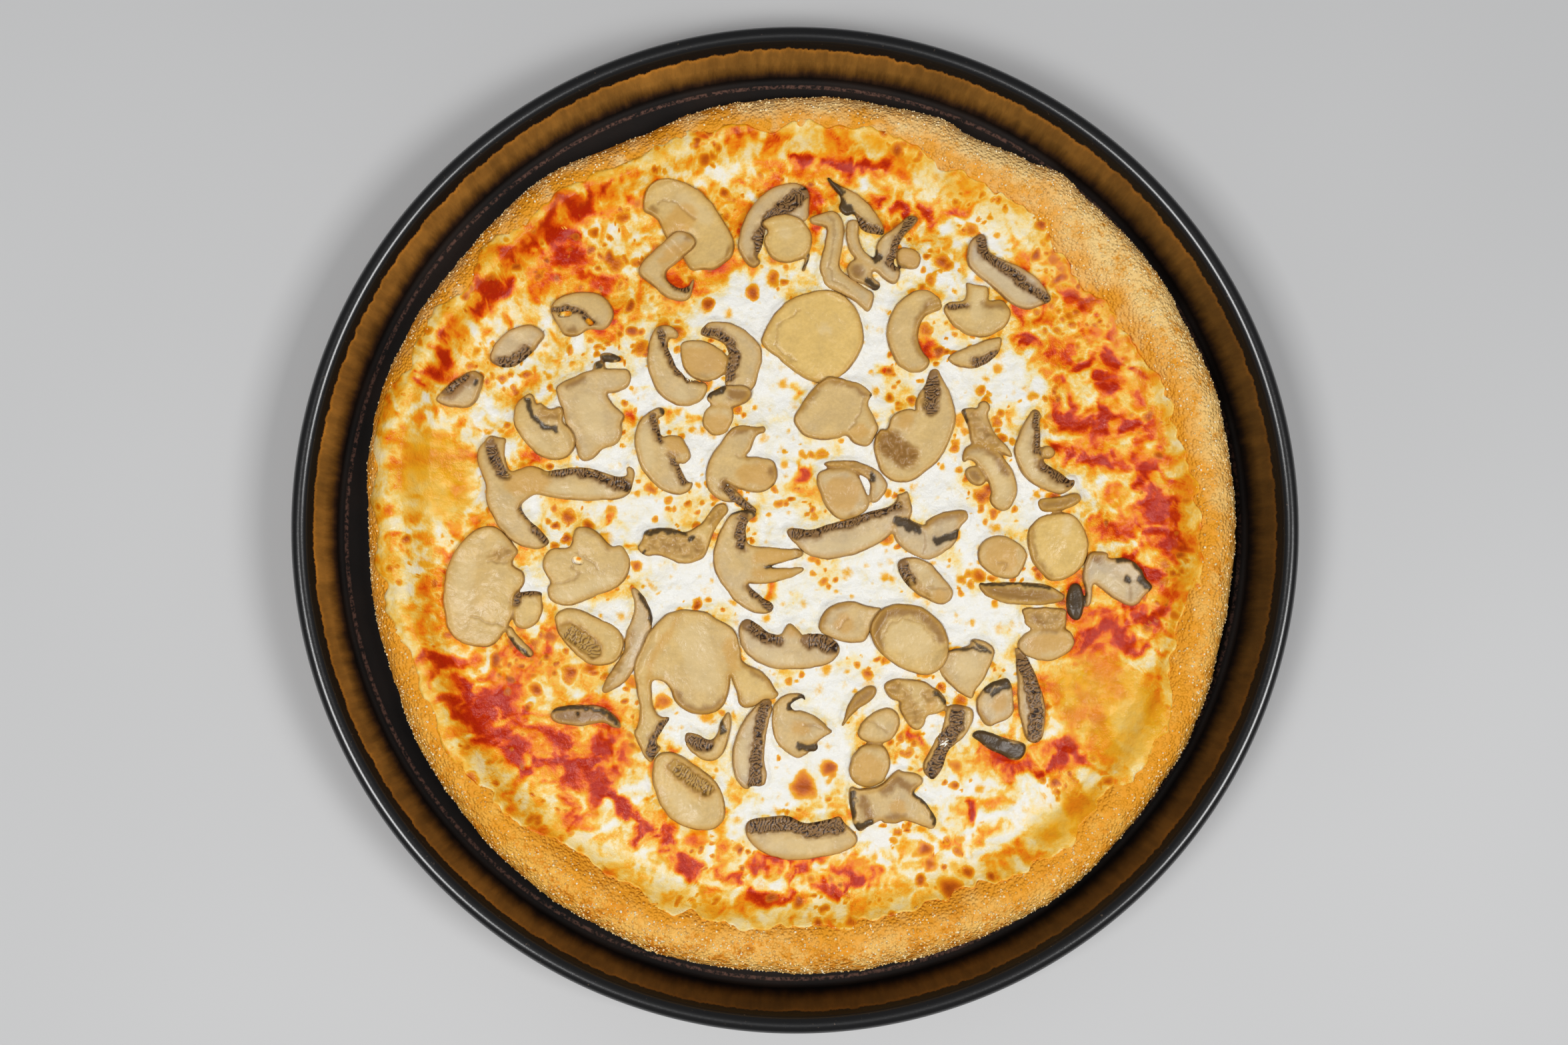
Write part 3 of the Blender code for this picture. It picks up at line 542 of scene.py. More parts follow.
def panSteel():
    material, tree, shader, where = newMaterial("panSteel", specular=0.22)
    spot = place(tree, "ShaderNodeSeparateXYZ", {0: where})
    flat = place(tree, "ShaderNodeCombineXYZ", {0: spot.outputs["X"], 1: spot.outputs["Y"], 2: 0.0})
    length = place(tree, "ShaderNodeVectorMath", {0: flat.outputs[0]}, operation="LENGTH")
    radius = length.outputs["Value"]
    squeezed = place(tree, "ShaderNodeVectorMath", {0: where, 1: (1.0, 1.0, 0.06)}, operation="MULTIPLY")
    streaks = noise(tree, squeezed.outputs[0], pan["streakSize"], 4.0, 0.65)
    clouds = noise(tree, where, pan["cloudSize"], 3.0)
    speckle = noise(tree, where, pan["speckleSize"], 3.0, 0.7)
    height = maths(tree, "DIVIDE", spot.outputs["Z"], pan["neckHeight"] * mm)
    level = plus(tree, height, centred(tree, streaks, 0.26))
    wall = ramp(tree, level, pan["wallColours"])
    wall = shaded(tree, wall, between(tree, clouds, 0.25, 0.75, 0.72, 1.22))
    wall = shaded(tree, wall, between(tree, streaks, 0.3, 0.7, 0.8, 1.18))
    paintedLightSide = maths(tree, "SUBTRACT", spot.outputs["Y"], spot.outputs["X"])
    wall = shaded(tree, wall, between(tree, paintedLightSide, -0.2, 0.2, 0.45, 1.55))     # painted shade at the near right, painted light at the far left
    chips = between(tree, speckle, 0.66, 0.74)
    black = blend(tree, times(tree, chips, 0.5), paint(pan["beadBlack"]), paint(pan["chip"]))
    outside = between(tree, radius, *pan["outsideFrom"])
    onFloor = between(tree, spot.outputs["Z"], *pan["floorBelow"])
    base = blend(tree, between(tree, clouds, 0.3, 0.7), paint(pan["floorBlack"]), paint(pan["floorBrown"]))
    scratch = times(tree, between(tree, radius, *pan["scratchInner"]),
                    between(tree, radius, *pan["scratchOuter"]))
    scratch = times(tree, scratch, between(tree, speckle, 0.4, 0.62, 0.0, 0.6))
    colour = blend(tree, onFloor, wall, blend(tree, scratch, base, paint(pan["scratch"])))
    colour = blend(tree, outside, colour, black)
    colour = blend(tree, between(tree, level, 0.965, 0.99), colour, black)
    feed(tree, shader.inputs["Base Color"], colour)
    feed(tree, shader.inputs["Roughness"], between(tree, radius, *pan["outsideFrom"], 0.7, 0.3))
    feed(tree, shader.inputs["Coat Weight"], outside)
    shader.inputs["Coat Roughness"].default_value = 0.22
    bumpInto(tree, shader, speckle, 0.0002, 0.5)
    return material


def buildPan():
    profile = panProfile()
    drawing = meshOf("panDrawing", [(r * mm, 0.0, z * mm) for r, z in profile], [])
    holder = addObject("panDrawing", drawing)
    material = panSteel()
    mesh = meshFromTree("pan_body", holder, latheTree(), {
        "Segments": pan["segments"], "Profile Points": len(profile), "Finish": material})
    bpy.data.objects.remove(holder, do_unlink=True)
    faceOutward(mesh)
    return newPiece("pan_body", mesh, material, "pan_steel", "pan")


buildPan()
print("pan turned")


# Crust: stretched dough with a craggy rim, coated in coarse meal

crust = {
    "centreX": 2.9, "centreY": -1.4, "radius": 165.4, "base": 1.7, "flatTop": 9.5,
    "crestInset": 10.5, "footInset": 29.0, "crestSpread": 7.0,
    # from the underside over the crest to the flat middle: inset from the edge, height
    "section": [(7.0, 1.75), (2.8, 2.8), (0.7, 5.4), (0.0, 9.0), (0.9, 13.0), (3.2, 16.8), (6.5, 19.4),
                (10.5, 20.4), (14.5, 19.4), (18.0, 16.6), (21.5, 13.0), (25.0, 10.6), (29.0, 9.5),
                (31.0, 9.5)],
    "bumps": [(0, -1.8, 10), (38, 1.4, 8), (54, 2.4, 2.5), (66, -1.8, 4), (72, 1.6, 3), (113, -2.4, 7),
              (128, 0.9, 5), (158, 2.2, 9), (186, -2.0, 13), (204, -1.4, 8), (235, 1.0, 18),
              (280, -0.5, 6), (306, 2.2, 5), (343, -1.2, 9)],
    "edgeWaves": [(0.35, 9, 0.4), (0.25, 17, 2.1)],
    "crestWaves": [(0.7, 5, 1.0), (0.5, 11, 2.6), (0.35, 23, 0.0)],
    "rimWidths": [(48, 0.26, 24), (100, -0.12, 20), (140, -0.22, 26), (225, -0.14, 24), (270, 0.06, 25)],
    # width of the bare rim by direction, in degrees and mm
    "bareWidths": [(0, 17), (20, 20), (45, 25), (62, 19), (90, 12), (105, 9), (150, 8), (165, 4), (182, 3),
                   (197, 9), (215, 13), (240, 18), (270, 19), (300, 17), (330, 12), (345, 15)],
    "columns": 1260, "rows": 74, "crag": 0.5,
    # where it is darker, more golden and more stained: direction, share, spread in degrees
    "toastSwells": [(268, 0.05, 50), (60, -0.14, 35), (100, -0.1, 30), (135, -0.14, 35), (200, 0.05, 25)],
    "goldenSwells": [(270, 0.3, 55), (325, 0.4, 25), (215, 0.45, 30), (120, -0.1, 30), (20, 0.2, 35)],
    "stainSwells": [(130, 1, 30), (325, 0.8, 30)],
    # from floury to scorched, then the meal from toasted to pale
    "toastColours": [(0.0, "f9e6ae"), (0.28, "f7e0a2"), (0.6, "e2a83e"), (0.88, "b87a2c"), (1.0, "96601f")],
    "mealColours": [(0.0, "d8a04c"), (0.35, "f0cc80"), (0.75, "f8e2a8"), (1.0, "fdf0cc")],
    "goldenWash": "ffd070", "stain": "f0a024", "freckle": "8a5a20",
    # sizes of the patterns, in metres
    "crumbSize": 0.0013, "patchSize": 0.009, "fineSize": 0.0014, "flourSize": 0.0042, "freckleSize": 0.0022,
    "mealCount": 9200, "mealSmallest": 0.3, "mealLargest": 0.6, "bareRadius": 155, "bareBand": 34,
}


def swell(angle, bumps):                   # sum of soft bumps: direction, height, spread in degrees
    total = 0.0
    for direction, height, spread in bumps:
        away = (np.degrees(angle) - direction + 180) % 360 - 180
        total = total + height * np.exp(-0.5 * (away / spread) ** 2)
    return total


def ripple(angle, waves):
    return sum(height * np.sin(count * angle + start) for height, count, start in waves)


def doughEdge(angle):
    return crust["radius"] + swell(angle, crust["bumps"]) + ripple(angle, crust["edgeWaves"])


def rimScale(angle):
    return 1.0 + swell(angle, crust["rimWidths"])


def scaledInset(inset, angle):
    crest = crust["crestInset"]
    return np.where(inset > crest, crest + (inset - crest) * rimScale(angle), inset)


def crestLift(angle, inset):
    away = (inset - crust["crestInset"]) / crust["crestSpread"]
    return ripple(angle, crust["crestWaves"]) * np.exp(-away ** 2)


def doughTop(angle, radius):               # height of the dough under the topping
    crest = crust["crestInset"]
    inset = doughEdge(angle) - radius
    even = np.where(inset > crest, crest + (inset - crest) / rimScale(angle), inset)
    insets, heights = zip(*crust["section"][4:])
    return np.interp(even, insets, heights) + crestLift(angle, even)


def polar(x, y):
    away = (x - crust["centreX"], y - crust["centreY"])
    return np.arctan2(away[1], away[0]), np.hypot(*away)


def fromPolar(angle, radius):
    return crust["centreX"] + radius * np.cos(angle), crust["centreY"] + radius * np.sin(angle)


def evenCurve(points, count):              # smooth curve through the points, evenly stepped
    points = np.array(points, float)
    padded = np.vstack([2 * points[0] - points[1], points, 2 * points[-1] - points[-2]])
    fine = []
    for a, b, c, d in zip(padded, padded[1:], padded[2:], padded[3:]):
        for t in np.linspace(0, 1, 12, endpoint=False):
            fine.append(0.5 * (2 * b + (c - a) * t + (2 * a - 5 * b + 4 * c - d) * t ** 2
                               + (3 * b - a - 3 * c + d) * t ** 3))
    fine = np.array(fine + [points[-1]])
    lengths = np.concatenate([[0], np.cumsum(np.hypot(*np.diff(fine, axis=0).T))])
    steps = np.linspace(0, lengths[-1], count)
    return np.interp(steps, lengths, fine[:, 0]), np.interp(steps, lengths, fine[:, 1])


def sauceEdge(angle):                      # outer edge of the sauce, up on the rim
    directions, widths = zip(*crust["bareWidths"])
    bare = np.interp(np.degrees(angle), directions, widths, period=360)
    return doughEdge(angle) - bare + ripple(angle, [(0.8, 7, 0.6), (0.9, 13, 2.0), (0.5, 29, 1.0)])


def bakedDough():
    material, tree, shader, where = newMaterial("bakedDough", 0.62, 0.2)
    grain = place(tree, "ShaderNodeTexVoronoi", {
        "Vector": where, "Scale": 1 / crust["crumbSize"], "Randomness": 1.0})
    crumb = between(tree, grain.outputs["Distance"], 0.75, 0.1)
    patches = noise(tree, where, crust["patchSize"], 4.0, 0.6)
    fine = noise(tree, where, crust["fineSize"], 2.0, 0.6)
    toast = plus(tree, mark(tree, "toast"), centred(tree, patches, 1.3))
    toast = plus(tree, toast, centred(tree, fine, 1.2))
    toast = maths(tree, "SUBTRACT", toast, times(tree, crumb, 0.16))
    flour = between(tree, noise(tree, where, crust["flourSize"], 3.0, 0.6), 0.44, 0.6, -0.14, 0.16)
    toast = maths(tree, "SUBTRACT", toast, flour)
    colour = ramp(tree, toast, crust["toastColours"])
    warm = blend(tree, 1.0, colour, paint(crust["goldenWash"]), "MULTIPLY")
    colour = blend(tree, mark(tree, "golden"), colour, warm)
    stained = times(tree, mark(tree, "stain"), between(tree, patches, 0.16, 0.52))
    colour = blend(tree, stained, colour, paint(crust["stain"]))
    freckles = between(tree, noise(tree, where, crust["freckleSize"], 2.0), 0.71, 0.76)
    colour = blend(tree, times(tree, freckles, 0.5), colour, paint(crust["freckle"]))
    feed(tree, shader.inputs["Base Color"], colour)
    bumpInto(tree, shader, crumb, 0.0005, 0.9)
    return material


def cornMeal():
    material, tree, shader, where = newMaterial("cornMeal", 0.6)
    colour = ramp(tree, mark(tree, "grainTone"), crust["mealColours"])
    shade = between(tree, noise(tree, where, 0.01), 0.3, 0.7, 0.86, 1.08)
    feed(tree, shader.inputs["Base Color"], shaded(tree, colour, shade))
    return material


def scatterTree():                         # loose grains over a surface, thicker where it is marked
    tree, given, result = newGroup(
        "scatteredGrains", "GeometryNodeTree",
        [("Geometry", "NodeSocketGeometry", None), ("Density", "NodeSocketFloat", 1000.0),
         ("Smallest", "NodeSocketFloat", 0.0004), ("Largest", "NodeSocketFloat", 0.001),
         ("Seed", "NodeSocketInt", 1), ("Finish", "NodeSocketMaterial", None)],
        [("Geometry", "NodeSocketGeometry")])
    where = place(tree, "GeometryNodeInputNamedAttribute", {"Name": "mealShare"}, data_type="FLOAT")
    density = times(tree, given["Density"], where.outputs[0])
    points = place(tree, "GeometryNodeDistributePointsOnFaces", {
        "Mesh": given["Geometry"], "Density": density, "Seed": given["Seed"]})
    grain = place(tree, "GeometryNodeMeshIcoSphere", {"Radius": 1.0, "Subdivisions": 1})
    size = place(tree, "FunctionNodeRandomValue", {"Seed": given["Seed"]}, data_type="FLOAT")
    feed(tree, size.inputs[2], given["Smallest"])
    feed(tree, size.inputs[3], given["Largest"])
    squash = place(tree, "FunctionNodeRandomValue", data_type="FLOAT_VECTOR")
    squash.inputs[0].default_value = (0.7, 0.7, 0.55)
    squash.inputs[1].default_value = (1.3, 1.1, 0.95)
    scale = place(tree, "ShaderNodeVectorMath", {0: squash.outputs[0], "Scale": size.outputs[1]},
                  operation="SCALE")
    spin = place(tree, "FunctionNodeRandomValue", data_type="FLOAT_VECTOR")
    spin.inputs[1].default_value = (6.28, 6.28, 6.28)
    laid = place(tree, "GeometryNodeInstanceOnPoints", {
        "Points": points.outputs["Points"], "Instance": grain.outputs["Mesh"],
        "Rotation": spin.outputs[0], "Scale": scale.outputs[0]})
    tone = place(tree, "FunctionNodeRandomValue", data_type="FLOAT")
    toned = place(tree, "GeometryNodeStoreNamedAttribute", {
        "Geometry": laid.outputs[0], "Name": "grainTone", "Value": tone.outputs[1]},
                  data_type="FLOAT", domain="INSTANCE")
    endTree(tree, result, toned.outputs[0], given["Finish"])
    return tree


def buildCrust():
    insets, heights = evenCurve(crust["section"], crust["rows"])
    angle = np.linspace(0, 2 * math.pi, crust["columns"], endpoint=False)
    rowInset, rowAngle = np.meshgrid(insets, angle, indexing="ij")
    rowHeight = np.repeat(heights[:, None], len(angle), 1)
    radius = doughEdge(rowAngle) - scaledInset(rowInset, rowAngle)
    x, y = fromPolar(rowAngle, radius)
    z = rowHeight + crestLift(rowAngle, rowInset)
    alongRow = np.stack([np.roll(v, -1, 1) - np.roll(v, 1, 1) for v in (x, y, z)], -1)
    upRow = np.stack([np.gradient(v, axis=0) for v in (x, y, z)], -1)
    normal = np.cross(alongRow, upRow)
    normal /= np.linalg.norm(normal, axis=-1, keepdims=True)
    relief = crust["crag"] * (0.9 * layeredNoise((x, y, z), 11, 3, 21)
                              + 0.35 * layeredNoise((x, y, z), 2.4, 2, 31)
                              + 0.22 * softNoise((x, y, z), 1.0, 41))
    held = smoothStep(2.2, 6.0, z) + (rowInset > 15)       # the underside stays flat on the pan
    fromSauce = radius - sauceEdge(rowAngle)
    relief = relief * np.clip(held, 0, 1) * smoothStep(-7, 1, fromSauce)
    x, y, z = (v + normal[..., k] * relief for k, v in enumerate((x, y, z)))
    z[0] = crust["base"]
    rings = np.stack([x, y, z], -1) * mm
    cx, cy = crust["centreX"] * mm, crust["centreY"] * mm
    mesh = ringMesh("crust", rings, (cx, cy, crust["base"] * mm), (cx, cy, crust["flatTop"] * mm))
    toast = (0.34 + 0.17 * layeredNoise((x, y, z), 14, 3, 51) + 0.10 * smoothStep(14.0, 8.0, z)
             - 0.16 * smoothStep(10, 20, rowInset) + swell(rowAngle, crust["toastSwells"]))
    golden = 0.3 + swell(rowAngle, crust["goldenSwells"])
    spilt = fromSauce + 5 * layeredNoise((x, y), 7, 3, 61) - 3 * swell(rowAngle, crust["stainSwells"])
    stain = smoothStep(17, -2, spilt)
    meal = smoothStep(-2, 6, fromSauce) * smoothStep(3.0, 6.0, z)
    meal = meal * (0.75 + 0.35 * layeredNoise((x, y), 18, 2, 71))
    marks = {"toast": toast, "golden": golden, "stain": stain}
    flat = {name: np.concatenate([v.ravel(), [v.mean(), v.mean()]]) for name, v in marks.items()}
    flat["mealShare"] = np.concatenate([np.clip(meal, 0, 1.3).ravel(), [0, 0]])
    writeMarks(mesh, flat)
    piece = newPiece("crust", mesh, bakedDough(), "baked_dough", "dough")
    material = cornMeal()
    band = 2 * math.pi * crust["bareRadius"] * crust["bareBand"] * mm * mm      # the bare rim's area
    grains = meshFromTree("crust_meal", piece, scatterTree(), {
        "Density": crust["mealCount"] / band, "Smallest": crust["mealSmallest"] * mm,
        "Largest": crust["mealLargest"] * mm, "Seed": 7, "Finish": material})
    newPiece("crust_meal", grains, material, "baked_dough")
    print("meal grains:", len(grains.polygons))


buildCrust()
print("crust shaped")


# Topping: tomato sauce under melted cheese, browned in the oven

topping = {
    "sauceLift": 0.3, "sauceThickness": 1.2, "sauceColumns": 1100, "sauceStep": 0.85, "sauceInner": 99.0,
    "sauceUnderRows": 10,
    "cheeseRadius": 121.0, "cheeseThickness": 1.4, "cheeseStep": 0.72, "cheeseTaper": 16.0,
    "cheeseWaves": [(1.2, 11, 1.4), (0.8, 19, 0.3)], "cheeseBox": (-140, -140, 146, 140),
    "tongues": [(38, 8, 9), (18, -16, 10), (58, 7, 9), (90, 9, 14), (120, -5, 9), (140, 2, 8),
        (172, 8, 12), (200, 14, 9), (219, -10, 8), (248, 6, 9), (272, -2, 8), (292, 8, 14), (322, -2, 8),
        (350, 12, 9)],
    # cheese to sauce, the smooth yellow fields, and the browned bubbles
    "sauceColours": [(0.0, "f4f2ea"), (0.15, "f2ecd8"), (0.28, "f6e2a8"), (0.40, "f6c654"),
                     (0.52, "f6a41c"), (0.66, "f3800e"), (0.80, "e04a02"), (1.0, "b62400")],
    "goldColours": [(0.3, "f6d272"), (0.5, "eeae1e"), (0.62, "e28a12")],
    "bubbleColours": [(0.08, "f8d874"), (0.22, "f2ac22"), (0.42, "e4820e"), (0.62, "c8600c"),
                      (0.84, "9a3e0a"), (1.0, "6e2a08")],
    "oilSize": 0.0013, "curdSize": 0.0045,         # sizes of the patterns, in metres
    # how much sauce shows through the cheese: direction, share, spread in degrees
    "ringWarmth": [(130, 0.15, 24), (12, 0.24, 24), (338, 0.12, 12), (75, 0.02, 15), (216, 0.18, 18),
        (312, 0.08, 16), (250, -0.07, 12), (60, -0.08, 10), (172, 0.06, 12)],
    # places where the sauce breaks through: width, then points
    "reds": [(7, -36, 146, -20, 149, -8, 150), (6, 0, 141, 15, 138, 32, 136),
        (6, 33, 124, 45, 123, 60, 118), (6, -138, 52, -132, 66, -126, 78),
        (4, -124, 80, -114, 92, -104, 103), (4, -102, 106, -90, 118, -78, 125), (6, -92, 112, -84, 106),
        (4, -72, 128, -56, 136), (3, -112, 88, -104, 90), (8, 103, 94, 112, 86, 124, 78),
        (6, 124, 78, 132, 66), (6, 104, 62, 112, 60, 118, 52), (8, 100, 46, 110, 42, 124, 40),
        (6, 99, 28, 118, 24, 135, 20), (6, 134, 12, 138, 3, 144, -9), (6, 88, 71, 94, 66),
        (5, 118, 64, 128, 60), (6, 126, -14, 134, -20), (8, 126, -31, 134, -33),
        (6, 106, -42, 118, -39, 126, -44), (8, 82, -91, 92, -87, 102, -84), (4, 104, -60, 116, -57),
        (10, -136, -50, -129, -56, -122, -62, -115, -66), (8, -102, -89, -86, -87, -72, -84),
        (6, -88, -94), (7, -72, -99, -65, -104), (8, -56, -112, -48, -121, -42, -127),
        (6, -15, -127, -4, -125), (8, 3, -131, 14, -133, 26, -131), (4, 9, -125), (6, 58, -113, 65, -107),
        (5, -20, -135, -8, -138, 3, -140), (6, -56, 51), (5, -63, 43), (4, -40, 42), (7, 50, 70),
        (5, 33, 57), (6, 0, 51), (6, 5, 17, 3, 24), (6, -68, 3), (5, -62, -8), (6, -12, -23),
        (5, -48, -80), (6, 47, -80), (3, -41, 37), (3, -50, 42), (4, 36, -84), (7, -127, -64, -118, -76),
        (8, -108, -82, -94, -92), (7, -90, -80, -74, -92), (5, -68, -104, -58, -116),
        (6, -38, -128, -24, -132)],
    # smooth yellow fields: width, then points
    "golds": [(30, 112, -64, 128, -74), (22, -136, 26, -134, 14), (14, 96, -112, 108, -104)],
    # white pools of cheese: width, then points
    "creams": [(16, 88, 58, 80, 52), (12, 92, -50, 100, -70), (14, -118, 62, -108, 66),
        (20, -104, -30, -112, 44), (14, 92, 10, 112, 14), (16, 46, 100, 70, 92), (16, 30, -116, 60, -96),
        (16, 60, -122, 96, -100), (10, 128, -92, 110, -100), (14, -60, 112, -66, 100),
        (12, 66, 112, 84, 116), (14, -112, 46, -104, 60), (12, -100, 80, -84, 68),
        (12, -72, 112, -62, 116), (10, -74, 66, -62, 72)],
    # browned bubbles: size across, then place
    "bubbles": [(5, -70, 103), (4, -32, 85), (5, -17, 89), (4, -63, 83), (4, -61, 74), (4, -27, 126),
        (4, -144, -6), (4, -93, -48), (5, -113, -50), (4, -107, -57), (5, -98, -60), (4, -100, -67),
        (9, 3, -97), (5, 12, -90), (5, 46, -133), (8, 57, -134), (5, 64, -128), (6, 47, -121),
        (4, 73, -131), (5, -9, -138), (5, 0, -141), (4, 8, -147), (7, -121, -94), (3, 138, -68),
        (3, 137, -75), (3, 135, -83), (3, 142, -53), (4, 118, 1), (4, 138, 27), (5, 100, 95),
        (4, 107, 92), (4, 93, 113), (4, 92, 103), (4, 72, 130), (3, 75, 126), (5, -85, 110),
        (4, -79, 106), (4, 145, -10), (4, 116, -104), (4, 98, -96), (5, -103, -89), (4, 33, 148)],
}


def widthMask(x, y, strokes, soft):        # 1 within the strokes, fading over the soft width
    total = np.zeros(np.shape(x))
    for width, *flat in strokes:
        away = strokeReach(x, y, pairs(flat))[0]
        total = np.maximum(total, smoothStep(width / 2 + soft, width / 2 - soft, away))
    return total


def toppingMarks(x, y):
    angle, radius = polar(x, y)
    wobbleX = x + 3.2 * softNoise((x, y), 7, 81) + 1.4 * softNoise((x, y), 2.6, 82)
    wobbleY = y + 3.2 * softNoise((x, y), 7, 83) + 1.4 * softNoise((x, y), 2.6, 84)
    broad = layeredNoise((x, y), 15, 3, 91)
    small = layeredNoise((wobbleX, wobbleY), 4.5, 3, 95)
    ring = smoothStep(84, 116, radius + 5 * broad)
    outer = smoothStep(11, 0, sauceEdge(angle) - radius + 4 * small)
    reds = widthMask(wobbleX, wobbleY, topping["reds"], 3.2)
    creams = widthMask(wobbleX, wobbleY, topping["creams"], 4.0)
    golds = widthMask(x + 3 * broad, y, topping["golds"], 6.0)
    share = 0.08 + 0.25 * ring + ring * swell(angle, topping["ringWarmth"]) + 0.09 * broad
    share = share + (0.12 + 0.16 * ring) * small
    share = share + (0.6 - 0.1 * ring) * reds * (0.6 + 0.6 * smoothStep(-0.6, 0.6, small)) - 0.22 * creams
    share = share + (0.40 + 0.12 * small - share) * 0.75 * outer
    share = share * (1 - golds) + golds * (0.48 + 0.06 * small)
    share = share + 0.06 * slicesNear(x, y, 1.7)
    share = share + 0.12 * smoothStep(-0.1, 0.9, layeredNoise((x, y), 11, 2, 99))
    golden = np.maximum(golds, 0.55 * outer)
    clusters = smoothStep(-0.2, 0.5, layeredNoise((x, y), 15, 2, 98))
    share = share + 0.24 * (clusters - 0.35) * (1 - 0.6 * ring)
    bubbles = np.zeros(np.shape(x))
    for width, cx, cy in topping["bubbles"]:
        away = np.hypot(0.5 * (x + wobbleX) - cx, 0.5 * (y + wobbleY) - cy)
        bubbles = np.maximum(bubbles, smoothStep(0.8 * width, 0.05 * width, away))
    browned = spotField(x, y, 8.0, 0.6, 1.4, 3.6, 111) * (0.24 + 0.6 * clusters)
    orange = spotField(x, y, 4.2, 0.62, 0.8, 2.3, 101) * (0.14 + 0.6 * clusters)
    brown = np.maximum(np.maximum(0.76 * bubbles, browned), orange) * (1 - 0.6 * golds)
    marks = {"sauceShare": share, "browned": brown, "goldShare": golden}
    return {name: np.clip(values, 0, 1) for name, values in marks.items()}


def toppingRelief(x, y, marks):            # cheese stands proud, sauce lies lower, bubbles swell
    lumps = 0.42 * layeredNoise((x, y), 9, 2, 121) + 0.22 * layeredNoise((x, y), 3.2, 3, 131)
    return lumps + 0.55 * (0.35 - marks["sauceShare"]) + 0.35 * marks["browned"]


def cheeseEdge(angle):
    spread = topping["cheeseRadius"] + swell(angle, topping["tongues"])
    spread = spread + ripple(angle, topping["cheeseWaves"])
    foot = doughEdge(angle) - scaledInset(crust["footInset"], angle)
    return np.minimum(spread, foot - 1.5)


def bakedTopping():                        # sauce to cheese, with browning: shared by both layers
    tree, given, result = newGroup(
        "bakedTopping", "ShaderNodeTree",
        [("Vector", "NodeSocketVector", None), ("Sauce", "NodeSocketFloat", 0.0),
         ("Browned", "NodeSocketFloat", 0.0), ("Gold", "NodeSocketFloat", 0.0)],
        [("Color", "NodeSocketColor"), ("Roughness", "NodeSocketFloat"), ("Height", "NodeSocketFloat")])
    fine = noise(tree, given["Vector"], topping["oilSize"], 4.0, 0.65)
    curds = noise(tree, given["Vector"], topping["curdSize"], 3.0, 0.55)
    loose = plus(tree, centred(tree, fine, 0.34),
                  centred(tree, curds, 0.22))
    share = plus(tree, given["Sauce"], loose)
    colour = ramp(tree, share, topping["sauceColours"])
    golden = ramp(tree, given["Sauce"], topping["goldColours"])
    golden = shaded(tree, golden, between(tree, curds, 0.3, 0.7, 0.93, 1.06))
    colour = blend(tree, times(tree, given["Gold"], 0.8), colour, golden)
    bake = plus(tree, given["Browned"], times(tree, loose, 0.5))
    toasted = ramp(tree, bake, topping["bubbleColours"])
    shown = maths(tree, "SUBTRACT", bake, between(tree, share, 0.42, 0.85, 0.0, 0.4))
    colour = blend(tree, between(tree, shown, 0.04, 0.22), colour, toasted)
    feed(tree, result.inputs["Color"], colour)
    feed(tree, result.inputs["Roughness"], between(tree, curds, 0.3, 0.75, 0.1, 0.28))
    feed(tree, result.inputs["Height"], plus(tree, times(tree, fine, 0.4), curds))
    return tree


toppingGroup = bakedTopping()


def toppingMaterial(name, relief):
    material, tree, shader, where = newMaterial(name, specular=0.2)
    look = place(tree, "ShaderNodeGroup", node_tree=toppingGroup)
    feed(tree, look.inputs["Vector"], where)
    for label, name in (("Sauce", "sauceShare"), ("Browned", "browned"), ("Gold", "goldShare")):
        feed(tree, look.inputs[label], mark(tree, name))
    feed(tree, shader.inputs["Base Color"], look.outputs["Color"])
    feed(tree, shader.inputs["Roughness"], look.outputs["Roughness"])
    bumpInto(tree, shader, look.outputs["Height"], relief)
    return material


def buildSauce():
    angle = np.linspace(0, 2 * math.pi, topping["sauceColumns"], endpoint=False)
    edge = sauceEdge(angle) + 2.6 * layeredNoise(fromPolar(angle, 140), 9, 3, 141)
    inner = topping["sauceInner"]
    under, over, marks = [], [], []
    for share in np.linspace(1, 0, int((edge.mean() - inner) / topping["sauceStep"])):
        radius = inner + (edge - inner) * share
        x, y = fromPolar(angle, radius)
        floor = doughTop(angle, radius)
        local = toppingMarks(x, y)
        body = topping["sauceThickness"] * smoothStep(-0.2, 7.0, edge - radius) + 0.1
        relief = toppingRelief(x, y, local) * smoothStep(0.0, 7.0, edge - radius)
        height = floor + topping["sauceLift"] + body + relief
        over.append(np.stack([x, y, height], -1))
        marks.append(local)
    for share in np.linspace(0, 1, topping["sauceUnderRows"]):
        radius = inner + (edge - inner) * share
        under.append(np.stack([*fromPolar(angle, radius), doughTop(angle, radius) + 0.1], -1))
    rings = np.array(under + over) * mm
    cx, cy = crust["centreX"] * mm, crust["centreY"] * mm
    mesh = ringMesh("sauce_layer", rings, (cx, cy, 9.6 * mm), (cx, cy, 11.0 * mm))
    rows = [marks[0]] * len(under) + marks         # the underside is marked as the outer edge is
    hubs = [[0.2, 0.2]]
    writeMarks(mesh, {name: np.concatenate([row[name] for row in rows] + hubs) for name in marks[0]})
    material = toppingMaterial("tomatoSauce", 0.0006)
    return newPiece("sauce_layer", mesh, material, "tomato_sauce", "sauce")


